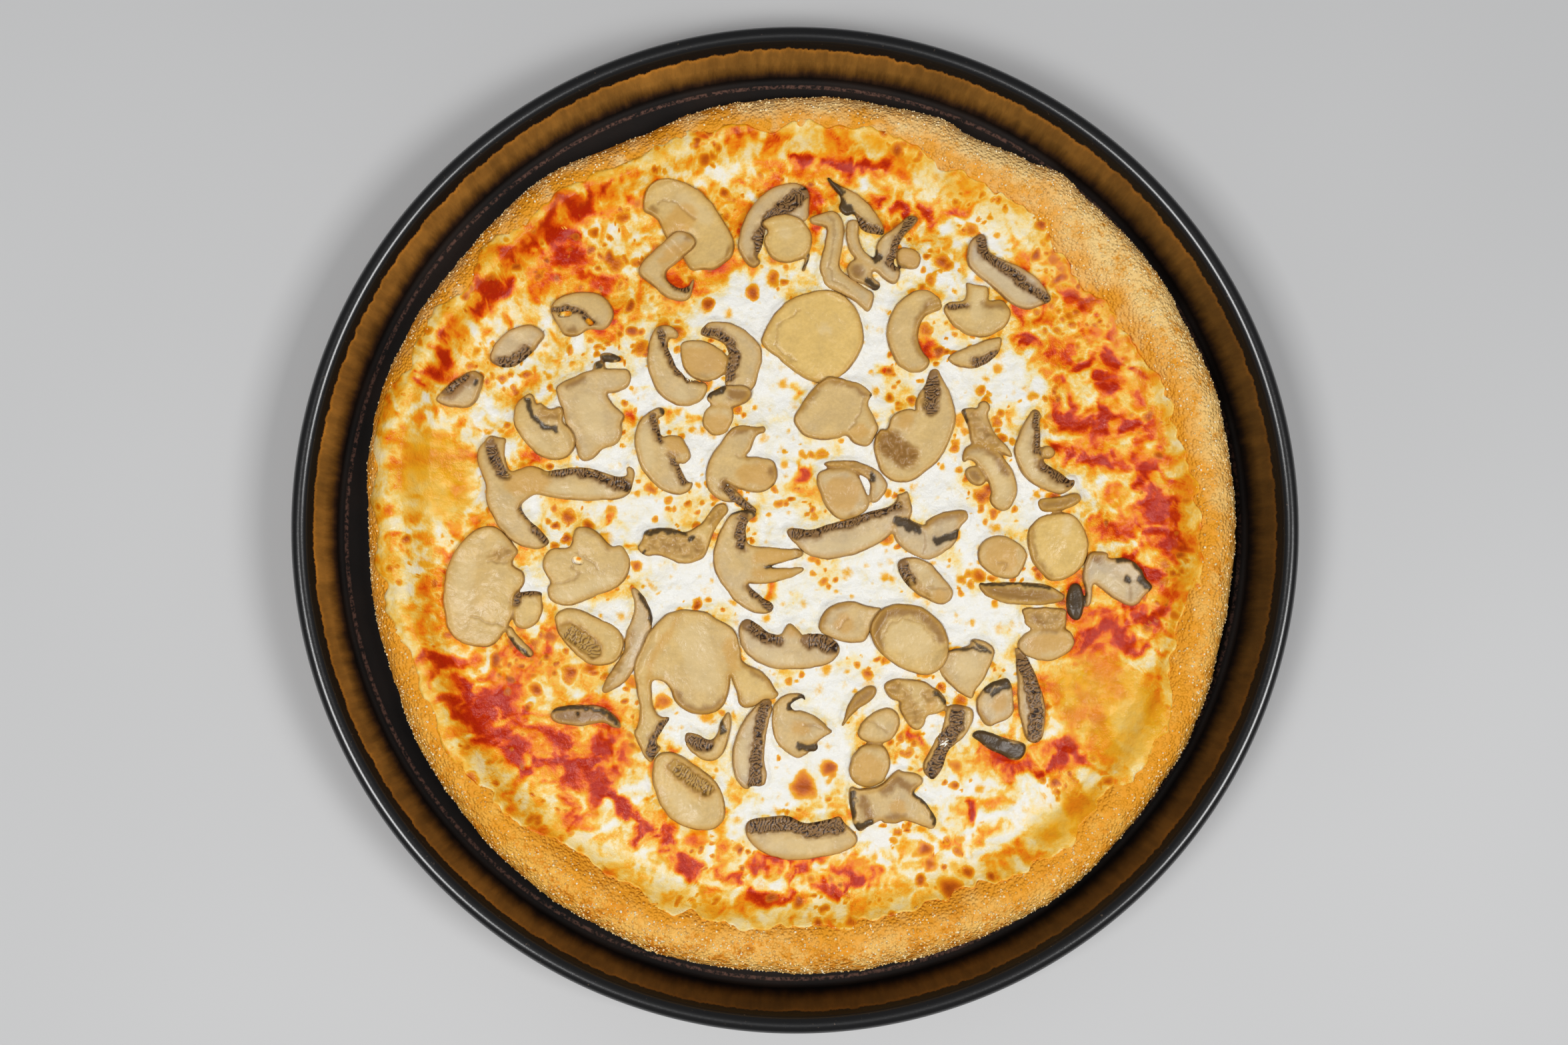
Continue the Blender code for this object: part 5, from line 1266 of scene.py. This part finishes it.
        ("warm", 4, -1.8, -38.5), ("brown", 1.4, -4.5, -37, -2, -35.5, 1, -39),
        ("pale", 4, -14, -47, 0, -51)]),
    "cap_slice_leaning": (0.3, [
        ("shape", -62, -23, -60, -22.5, -57.5, -25, -54.5, -30, -53.5, -35.5, -54, -41, -57.5, -47, -60,
         -54, -65, -59, -71, -62.5, -73, -61, -70, -55, -67, -50, -64.5, -46.5, -64, -40, -61, -33.5,
         -60.5, -28)], [
        ("dark", 1.6, -58, -25.5, -55, -30, -54, -36), ("frill", 3, -62, -40, -66, -50, -71, -60)]),
    "whole_slice_largest": (0.65, [
        ("shape", -45, -31, -39.5, -30.5, -33.5, -31.5, -29.5, -34.5, -24, -37, -22, -40.5, -21, -46.5,
         -20, -50.5, -14, -52.5, -10, -56, -7.5, -61, -6, -62.5, -8, -64.5, -12, -64.5, -16, -67.5, -21,
         -67, -22, -63, -24, -57, -24.5, -55, -24.5, -59, -25.5, -64, -27.5, -67.5, -31.5, -70, -37.5,
         -70.5, -42, -68.5, -45.5, -65, -46.5, -61, -48.5, -58, -51, -57, -54, -57.5, -54, -63, -53.5,
         -67.5, -51, -71, -46.5, -70.5, -49, -74.5, -51, -77.5, -52.5, -80.5, -50, -82.5, -52, -85, -54,
         -88.5, -56.5, -86, -58.5, -81.5, -61, -76.5, -59, -74.5, -58, -68.5, -59, -63, -60.5, -56, -60,
         -50.5, -57.5, -44.5, -54.5, -38, -51, -34.5, -48, -32)], [
        ("brown", 4, -45.5, -62, -43, -67, -37, -69.5, -30, -68.5, -27, -65),
        ("warm", 2, -48, -40, -54, -50, -55, -58),
        ("gill", 3, -46.5, -71, -50, -74.5, -53.5, -79, -54, -85),
        ("brown", 1.4, -25, -55.5, -24.4, -60, -25.5, -64), ("warm", 4, -25, -44, -23.5, -52),
        ("brown", 2, -22, -63, -20.5, -66.5, -16, -67), ("brown", 2, -19, -51, -11, -57, -6.5, -62),
        ("warm", 1.2, -44, -33, -48, -42, -54, -50), ("pale", 11, -38, -42, -34, -56)]),
    "bean_slice_left": (0.75, [
        ("shape", -90.5, -33.5, -88.5, -31, -83.5, -30, -79, -31.5, -73, -34, -67, -37, -64, -41.5, -64.5,
         -46.5, -68, -51, -75, -52, -79.5, -50, -84.5, -45.5, -88.5, -40.5, -90, -36.5)], [
        ("gill", 5.2, -85.5, -38.5, -80, -42, -75.5, -46),
        ("warm", 8, -85.5, -38.5, -80, -42, -75.5, -46)]),
    "whole_slice_knot": (0.55, [
        ("shape", -95, -13.5, -93.5, -9.5, -91, -7.5, -86.5, -7.5, -84, -7, -83.5, -2.5, -82.5, 0, -79.5,
         0.5, -76, -0.5, -72, -4, -69, -7.5, -65.5, -6.5, -63, -9, -61.5, -13.5, -63, -19, -67, -23, -73,
         -25, -78, -27, -83.5, -29.5, -88.5, -29.5, -92.5, -27, -93, -23, -91.5, -20.5, -94.5, -17)], [
        ("hole", 2.8, -82.5, -12.2, -80.8, -12.8), ("line", 1, -84, -14, -81, -17, -83, -20, -91, -21.5),
        ("brown", 1.8, -78, 0, -73.5, -3.5, -70, -7.5), ("line", 1, -82, -9, -76, -13, -74, -15.5),
        ("pale", 4, -88, -26, -70, -20)]),
    "whole_slice_far_left": (0.65, [
        ("shape", -112, 0.5, -117.5, 0.5, -122.5, -2.5, -127, -7, -130, -13, -131.5, -19, -132, -26,
         -131.5, -32, -130, -38.5, -126.5, -42.5, -120.5, -44.5, -114.5, -45, -111.5, -42.5, -109, -38.5,
         -106, -34.5, -105, -30, -105.5, -26, -103.5, -24, -101.5, -22, -101, -19, -102, -16, -106, -14.5,
         -106, -12, -103.5, -9, -106, -6, -108.5, -2.5),
        ("shape", -106, -27, -103, -24, -98.5, -23.5, -95, -24, -95, -26, -94.5, -31, -96.5, -36, -101,
         -38.5, -105, -37.5, -106, -33),
        ("shape", -108.5, -37.5, -106, -37, -104, -40.5, -100, -44.5, -97.5, -47.5, -100, -49, -104,
         -45.5, -107.5, -41.5)], [
        ("frill", 4, -112.5, -10.5, -108, -9.5), ("line", 1, -115, -13, -106, -13),
        ("line", 1, -121, -33, -116, -35.5, -110, -37),
        ("gill", 2.6, -105, -28.5, -104, -25.5, -99, -24, -95, -24.5),
        ("dark", 1.6, -106, -42, -102.5, -46, -99.5, -48.5), ("pale", 6, -123, -15, -125, -30)]),
    "whole_slice_wishbone": (0.45, [
        ("shape", -119.5, 29.5, -117, 32.5, -115, 35, -111.5, 34, -108.5, 33.5, -109, 30, -108.5, 24.5,
         -107, 20.5, -104, 22, -99.5, 23.5, -95.5, 22.5, -93.5, 21, -89, 22, -82.5, 23, -76.5, 22, -72,
         20.5, -67, 19, -63, 19.5, -64, 22.5, -62, 23.5, -60, 21, -61, 16, -62.5, 12, -68, 10.5, -77, 9.5,
         -86.5, 10.5, -93.5, 11.5, -97.5, 12.5, -101, 10.5, -103.5, 8, -101, 4, -96.5, -0.5, -92, -5,
         -93.5, -7, -97, -8.5, -102, -7.5, -107, -4.5, -111.5, 0, -114.5, 5.5, -116.5, 11, -116, 15,
         -117.5, 19.5, -119.5, 24.5)], [
        ("gill", 4, -114.5, 31, -113, 26, -109.5, 20), ("gill", 2.2, -103, 7.5, -99, 2, -94, -5.5),
        ("gill", 2.8, -93, 20.6, -83, 21, -76, 20, -70, 17), ("gill", 4.6, -69, 17, -63.5, 16),
        ("warm", 10, -104, 17, -97, 18), ("pale", 4, -90, 14, -72, 13)]),
    "gill_slice_dark": (0.1, [
        ("shape", -92, -70, -90, -67.5, -85, -66.5, -80, -66.5, -74, -66.5, -69.5, -68.5, -65.5, -72.5,
         -65, -75.5, -68.5, -75, -72, -73, -76, -73.5, -80, -74.5, -86, -74, -90.5, -73)], [
        ("brown", 6, -88, -71, -78, -70.5, -69, -73),
        ("dark", 1.6, -90, -68, -80, -67, -70, -69.5, -66.5, -73), ("slit", 1.2, -82, -69.8)]),
    "cap_slice_small": (0.5, [
        ("shape", -41.5, -77, -39.5, -76.5, -36.5, -77.5, -33.5, -79.5, -31, -79.5, -29, -76.5, -29,
         -73.5, -27, -70, -25, -68.5, -24, -71, -24, -75.5, -25.5, -81.5, -27.5, -85.5, -31.5, -87.5, -36,
         -86.5, -39.5, -83.5, -41.5, -80.5)], [
        ("gill", 4.2, -40.5, -78.5, -37, -81, -32.5, -80.8), ("dark", 2, -28, -71.5, -27.5, -76),
        ("brown", 2, -29, -78)]),
    "gill_slice_upright": (0.2, [
        ("shape", -9.5, -64.5, -12, -64.5, -13.5, -66, -17, -68.5, -21, -74.5, -23.5, -81.5, -24, -87,
         -23, -93, -21, -96.5, -18, -98, -17, -96.5, -12, -97, -11, -94, -11.5, -89, -12, -84, -11.5,
         -79.5, -10.5, -74.5, -9.5, -70.5, -8.5, -67.5)], [
        ("gill", 3.4, -11, -66, -13.5, -73, -14.5, -82), ("gill", 4.6, -14.5, -82, -15, -90, -15.5, -96),
        ("pale", 3, -21, -80, -20, -91)]),
    "whole_slice_pointed": (0.4, [
        ("shape", -9, -69.5, -9, -72.5, -9, -76.5, -7.5, -81, -3.5, -84.5, 0.5, -86.5, 3.5, -85, 4.5, -84,
         4, -82.5, 1, -82, 7.5, -80.5, 10, -78.5, 14, -76.5, 12, -75, 9, -71.5, 5.5, -69.5, 1.5, -68,
         -0.5, -68.5, -2.5, -66.5, -0.5, -65, 2.5, -63.5, 3.5, -65.5, 3.5, -63, 1.5, -62, -2.5, -62, -6,
         -64, -8.5, -66.5),
        ("bar", 2, -81.6, 6.5, -82.2, 3)], [
        ("dark", 2.2, -2.2, -67, -0.5, -64.7, 3, -63.5), ("dark", 2.6, 1.5, -82, 6.8, -82.3),
        ("brown", 1.4, 13.5, -76.4, 8, -71.5), ("warm", 6, 2, -75), ("line", 0.7, 3, -73, 9, -75)]),
    "bean_slice_bottom": (0.6, [
        ("shape", -51, -84, -47, -83.5, -42.5, -85, -37.5, -89, -31.5, -93, -27.5, -98, -26, -104.5, -27,
         -110.5, -31.5, -113, -37.5, -113, -44, -111, -49, -106.5, -53, -98.5, -54, -92, -53, -86)], [
        ("gill", 5, -44.5, -89.5, -40, -93, -33.5, -97.5),
        ("warm", 8, -44.5, -89.5, -40, -93, -33.5, -97.5), ("pale", 5, -44, -101, -38, -108)]),
    "cap_slice_bottom": (0.45, [
        ("shape", -19, -112.5, -18, -109.5, -12, -108, -2.5, -107.5, 3.5, -111, 7, -110, 13, -109, 16.5,
         -107.5, 18, -110.5, 20.5, -112.5, 23, -115.5, 22.5, -118.5, 18, -121.5, 10, -123.5, 0, -124.5,
         -8, -123.5, -14, -120.5, -18, -116.5)], [
        ("gill", 5.4, -17, -111.5, -10, -110.5, -1, -110.3, 4, -113, 9, -112.3, 16, -111),
        ("pale", 5, -8, -118.5, 10, -118.5)]),
    "disc_slice_stack": (0.5, [
        ("shape", 30, -59, 30.5, -62.5, 28, -65.5, 23.5, -68, 20.5, -70.5, 17, -75, 18, -71.5, 19, -66.5,
         21.5, -62.5, 26, -59.5),
        ("shape", 33.5, -67, 38, -68.5, 39.5, -72.5, 37.5, -77.5, 33.5, -81, 25.5, -80.5, 22.5, -77.5, 24,
         -73.5, 28, -69.5),
        ("shape", 25.5, -80.5, 33.5, -81, 35.5, -86, 34.5, -92, 32, -96.5, 26.5, -97.5, 22.5, -96.5, 19.5,
         -92.5, 20, -87, 22.5, -83)], [
        ("brown", 6, 20, -70, 28, -61), ("brown", 1, 24, -81, 34, -82), ("pale", 3, 32, -73),
        ("warm", 11, 27, -90), ("brown", 2, 21, -94, 26, -97, 32, -96), ("line", 0.8, 27, -72, 34, -76)]),
    "frill_slice_right": (0.6, [
        ("shape", 32.5, -59, 34.5, -57, 39, -56.5, 44, -57, 49, -57.5, 53.5, -61, 56.5, -64.5, 56, -68.5,
         52.5, -70, 49, -70.5, 48.5, -74, 46, -76, 43, -75, 40, -71, 38.5, -67.5, 39, -65, 35.5, -64.5,
         33.5, -62),
        ("shape", 56.5, -66.5, 60.5, -66, 65.5, -67, 67, -69.5, 66, -73.5, 63, -78.5, 58.5, -82, 56.5,
         -85, 54.5, -91, 51.5, -95, 48.5, -93, 47, -90, 49.5, -85, 52.5, -79.5, 55, -73.5)], [
        ("frill", 7, 36, -60, 44, -70), ("frill", 6, 50, -63), ("line", 0.9, 43, -60, 44, -68, 46, -73),
        ("dark", 1.6, 52, -62, 56, -65), ("gill", 5.4, 60.5, -68.5, 60, -74, 56, -80, 54, -85, 51, -92),
        ("pale", 3, 64, -71, 62, -77), ("warm", 4, 51, -67)]),
    "disc_slice_dark_edge": (0.3, [
        ("shape", 67.5, -64, 70, -61, 72, -59, 76, -57, 79.5, -56, 81, -58.5, 81.5, -61, 81.5, -65.5, 82,
         -68, 80, -71.5, 76, -73.5, 72, -75, 69.5, -72.5, 67.5, -68.5)], [
        ("dark", 2.4, 71.5, -60.5, 74, -58.5, 80, -57.2), ("dark", 2, 73.5, -62, 79.5, -59),
        ("warm", 6, 76.5, -66), ("brown", 2, 68, -69, 72, -74)]),
    "gill_slice_lens": (0.3, [
        ("shape", 82, -44.5, 84.5, -46, 87.5, -49.5, 91.5, -59, 94, -66.5, 93.5, -75.5, 92.5, -79.5, 89.5,
         -81, 86.5, -79.5, 84.5, -73.5, 83, -65.5, 83, -57, 82.5, -49),
        ("shape", 65.5, -78, 68, -75.5, 73, -76.5, 79, -79.5, 85.5, -80.5, 86.5, -83, 84.5, -87, 81,
         -87.5, 78, -85.5, 72, -83.5, 69, -80.5)], [
        ("gill", 5.4, 84.8, -49, 88, -58, 89.7, -66, 90.3, -72, 89.7, -78),
        ("dark", 6, 68.5, -78, 74, -80.5, 80, -83.5, 83.5, -83.5),
        ("brown", 2, 86, -84, 83, -87, 79, -86.5)]),
    "whole_slice_three_armed": (0.45, [
        ("shape", 20, -96.5, 23.5, -98, 29.5, -97, 33.5, -95, 38, -90, 40, -91.5, 46, -92, 48, -95, 45,
         -97.5, 44, -99.5, 49, -102.5, 51.5, -107, 53, -109.5, 51.5, -113.5, 47, -111.5, 41, -109, 38,
         -111, 33, -110.5, 31.5, -109, 26.5, -112, 24, -114, 21.5, -111.5, 20.5, -106.5, 20, -102.5)], [
        ("dark", 2, 21, -99, 21.5, -108), ("dark", 2.6, 23, -112, 28, -110),
        ("dark", 2, 44, -99, 51, -106, 52, -111), ("brown", 4, 33, -98, 37, -94, 44, -98),
        ("warm", 6, 38, -105), ("brown", 4, 25, -102, 27, -108), ("brown", 3, 34, -109, 40, -109)]),
}


def slicesNear(x, y, reach):               # 1 under a slice, fading to 0 at a reach from it
    near = np.zeros(np.shape(x))
    for name in slices:
        box = sliceBox(name)
        local = (x > box[0]) & (x < box[2]) & (y > box[1]) & (y < box[3])
        if local.any():
            field = sliceField(name, x[local], y[local])
            near[local] = np.maximum(near[local], smoothStep(reach, 0, field))
    return near


def sliceField(name, x, y):                # mm from a slice's edge, negative inside
    first, *others = slices[name][1]
    field = lobeField(x, y, first)
    for lobe in others:
        field = softUnion(field, lobeField(x, y, lobe), mushrooms["lobeBlend"])
    seed = mushrooms["edgeSeed"] + list(slices).index(name)
    return field + mushrooms["outlineWobble"] * layeredNoise((x, y), 6.5, 3, seed)


def sliceBox(name):                        # left, near, right and far limits of a slice
    reach = []
    for kind, *sizes in slices[name][1]:
        if kind == "disc":
            cx, cy, size = sizes[0], sizes[1], max(sizes[2], sizes[3])
            reach.append((cx - size, cy - size, cx + size, cy + size))
            continue
        half = 0 if kind == "shape" else sizes[-1] / 2
        points = {"shape": pairs(sizes), "bar": pairs(sizes[:4])}.get(kind) or arcPoints(*sizes[:6])
        xs, ys = zip(*points)
        reach.append((min(xs) - half, min(ys) - half, max(xs) + half, max(ys) + half))
    low, high = np.min(reach, 0), np.max(reach, 0)
    margin = mushrooms["boxMargin"]
    return low[0] - margin, low[1] - margin, high[2] + margin, high[3] + margin


def meets(a, b):
    return a[0] < b[2] and b[0] < a[2] and a[1] < b[3] and b[1] < a[3]


def layHeight(x, y):                       # the cheese or sauce that a slice lies on
    angle, radius = polar(x, y)
    sauceTop = crust["flatTop"] + 2 * topping["sauceLift"] + topping["sauceThickness"]
    onCheese = smoothStep(0, -topping["cheeseTaper"], radius - cheeseEdge(angle))
    slope = doughTop(angle, radius) - crust["flatTop"]
    return sauceTop + slope + onCheese * (topping["cheeseThickness"] + topping["sauceLift"])


def mushroomFlesh():
    look = mushrooms
    material, tree, shader, where = newMaterial("mushroomFlesh", specular=0.24)
    shade, lumps = mottle(tree, where, look["mottleSize"], 0.3)
    fibres = noise(tree, where, look["fibreSize"], 3.0, 0.6)
    inward = plus(tree, mark(tree, "inward"), centred(tree, fibres, 0.8))
    tone = plus(tree, mark(tree, "tone"), centred(tree, lumps, 0.5))
    colour = ramp(tree, tone, [(0.0, look["fleshGrey"]), (0.5, look["flesh"]), (1.0, look["fleshYellow"])])
    colour = shaded(tree, colour, shade)
    colour = shaded(tree, colour, between(tree, fibres, 0.25, 0.75, 0.93, 1.05))
    # the pale mark lays on pale flesh and painted highlights as a lighter colour
    for name, strength in (("pale", 0.5), ("warm", 0.55), ("brown", 0.8)):
        colour = blend(tree, times(tree, mark(tree, name), strength), colour, paint(look[name]))
    colour = blend(tree, between(tree, inward, 3.0, 0.6, 0.0, 0.6), colour, paint(look["nearRim"]))
    worn = between(tree, lumps, 0.36, 0.62, 0.2, 0.75)
    colour = blend(tree, times(tree, worn, between(tree, inward, 0.8, 0.25)), colour, paint(look["rim"]))
    stripes = between(tree, plus(tree, mark(tree, "ribs"), times(tree, fibres, 0.5)), 0.3, 1.0)
    gill = blend(tree, stripes, paint(look["gillDark"]), paint(look["gillLight"]))
    window = blend(tree, stripes, paint(look["windowDark"]), paint(look["windowLight"]))
    gill = blend(tree, mark(tree, "warm"), gill, window)
    colour = blend(tree, mark(tree, "gill"), colour, gill)
    # near-black: dark flesh and painted shade in creases and cuts
    colour = blend(tree, mark(tree, "dark"), colour, paint(look["dark"]))
    feed(tree, shader.inputs["Base Color"], colour)
    feed(tree, shader.inputs["Roughness"], between(tree, lumps, 0.3, 0.7, 0.18, 0.36))
    bumpInto(tree, shader, plus(tree, fibres, lumps), 0.0003, 0.5)
    return material


def buildSlice(name, order, material, boxes):
    tone, lobes, strokes = slices[name]
    names = list(slices)
    box = boxes[name]
    over = [other for other in names[order + 1:] if meets(box, boxes[other])]
    under = [other for other in names[:order] if meets(box, boxes[other])]

    def cover(x, y):                       # mm from the slices that lie over this one
        fields = [sliceField(other, x, y) for other in over]
        return np.min(fields, 0) if fields else np.full(np.shape(x), 99.0)

    def outline(x, y):
        field = sliceField(name, x, y)
        for kind, width, *flat in strokes:
            if kind == "hole":
                field = np.maximum(field, width / 2 - strokeReach(x, y, pairs(flat))[0])
        return np.maximum(field, -mushrooms["overlap"] - cover(x, y))

    x, y, kept, number = sheetCells(outline, box, mushrooms["step"], 0.15)
    depth = np.maximum(-sliceField(name, x, y), 0)
    masks = {key: np.zeros(len(x)) for key in ("gill", "dark", "brown", "warm", "pale", "ribs")}
    wrinkle = np.zeros(len(x))
    sink = np.zeros(len(x))

    def raiseMask(kind, values):
        masks[kind] = np.maximum(masks[kind], values)

    wobbleX = x + 0.7 * softNoise((x, y), 2.2, 301) + 0.35 * softNoise((x, y), 0.9, 303)
    wobbleY = y + 0.7 * softNoise((x, y), 2.2, 302) + 0.35 * softNoise((x, y), 0.9, 304)
    for kind, width, *flat in strokes:
        away, along = strokeReach(wobbleX, wobbleY, pairs(flat))
        hard = smoothStep(width / 2 + 0.45, width / 2 - 0.35, away)
        soft = smoothStep(width / 2 + 1.6, width / 2 - 1.2, away)
        if kind == "gill":
            pitch = mushrooms["gillPitch"] * (1 + 0.25 * softNoise((x, y), 5, 305))
            ribs = 0.5 + 0.5 * np.cos(2 * math.pi * along / pitch)
            masks["ribs"] = np.where(hard > masks["gill"], ribs, masks["ribs"])
            raiseMask("gill", hard)
            raiseMask("brown", 0.8 * smoothStep(width / 2 + 1.8, width / 2, away))
            sink = np.maximum(sink, mushrooms["gillDepth"] * hard * (1 - 0.5 * ribs))
        elif kind == "line":
            raiseMask("brown", 0.5 * smoothStep(width / 2 + 0.4, width / 2 - 0.4, away))
            sink = np.maximum(sink, 0.3 * hard)
        # dark and slit strokes sink the flesh and paint the crease or cut near-black: dark flesh and
        # painted shade
        elif kind in ("dark", "slit"):
            shade, cut = mushrooms["cuts"][kind]
            raiseMask("dark", shade * hard)
            raiseMask("brown", 0.6 * soft)
            sink = np.maximum(sink, cut * hard)
        elif kind == "frill":
            raiseMask("brown", 0.75 * soft * (0.6 + 0.4 * softNoise((x, y), 1.6, 306)))
            raiseMask("warm", 0.6 * soft)
            wrinkle = np.maximum(wrinkle, soft)
        # brown, warm and pale strokes; the pale ones are pale flesh and painted highlights
        elif kind in masks:
            raiseMask(kind, soft)
    below = [sliceField(other, x, y) for other in under]
    lifted = smoothStep(2.6, -1.6, np.min(below, 0)) if below else 0.0
    pressed = smoothStep(3.2, -0.6, cover(x, y))
    rounded = np.sqrt(np.clip(1 - (1 - np.minimum(depth / mushrooms["edgeRound"], 1)) ** 2, 0, 1))
    relief = 0.34 * layeredNoise((x, y), 9, 2, 310 + order) + 0.08 * layeredNoise((x, y), 1.8, 2, 320)
    relief = relief + wrinkle * 0.7 * layeredNoise((x, y), 2.0, 2, 330)
    body = mushrooms["thickness"] * (0.35 + 0.65 * rounded) + (relief - sink) * rounded
    floor = layHeight(x, y)
    top = floor + body + mushrooms["climb"] * lifted - 0.8 * pressed
    mesh = slabMesh(name + "_flesh", x, y, kept, number, top, floor - mushrooms["sunk"])
    toneMark = tone + 0.12 * softNoise((x, y), 12, 340)
    masks.update({"inward": depth, "tone": np.clip(toneMark, 0, 1)})
    writeMarks(mesh, {key: np.concatenate([v, v]) for key, v in masks.items()})
    return newPiece(name + "_flesh", mesh, material, "mushroom", name)


def buildMushrooms():
    material = mushroomFlesh()
    boxes = {name: sliceBox(name) for name in slices}
    for order, name in enumerate(slices):
        buildSlice(name, order, material, boxes)


buildSauce()
buildCheese()
print("sauce and cheese laid")
buildMushrooms()
print("mushrooms sliced:", len(slices))


# Camera, lights and floor

view = {
    "lens": 50.0, "sensor": 36.0, "eye": (-0.023, -0.034, 0.8305), "look": (0.0227, 0.0440, -1.0),
    "floorSize": 3.0, "floorDrop": -0.0002, "floorColour": "c6c6c6",
    "worldColour": (0.86, 0.88, 0.92, 1.0), "worldStrength": 0.2,
    # each light: place, size, power
    "lights": [((-0.62, -0.34, 1.55), 0.5, 13.5), ((0.78, -0.30, 1.55), 0.5, 13.5)],
}


def buildView():
    camera = bpy.data.cameras.new("camera")
    camera.lens = view["lens"]
    camera.sensor_width = view["sensor"]
    holder = addObject("camera", camera)
    back = -Vector(view["look"]).normalized()
    right = Vector((0, 1, 0)).cross(back).normalized()
    up = back.cross(right)
    turned = Matrix((right, up, back)).transposed().to_4x4()
    holder.matrix_world = Matrix.Translation(view["eye"]) @ turned
    bpy.context.scene.camera = holder
    for i, (spot, size, power) in enumerate(view["lights"]):
        lamp = bpy.data.lights.new(f"softbox{i}", "AREA")
        lamp.size = size
        lamp.energy = power
        box = addObject(f"softbox{i}", lamp)
        box.location = spot
        box.rotation_euler = (-Vector(spot)).to_track_quat("-Z", "Y").to_euler()
    world = bpy.data.worlds.new("studio")
    world.use_nodes = True
    sky = world.node_tree.nodes["Background"]
    sky.inputs["Color"].default_value = view["worldColour"]
    sky.inputs["Strength"].default_value = view["worldStrength"]
    bpy.context.scene.world = world
    half = view["floorSize"] / 2
    corners = [(x * half, y * half, view["floorDrop"]) for x, y in ((-1, -1), (1, -1), (1, 1), (-1, 1))]
    mesh = meshOf("studio_floor", corners, [(0, 1, 2, 3)])
    material, tree, shader, where = newMaterial("floorPaint", 0.55)
    shade = between(tree, noise(tree, where, 0.4), 0.3, 0.7, 0.97, 1.03)
    feed(tree, shader.inputs["Base Color"], shaded(tree, paint(view["floorColour"]), shade))
    mesh.materials.append(material)
    addObject("studio_floor", mesh)


buildView()
bpy.context.scene.view_settings.view_transform = "Standard"
print("camera and lights set")
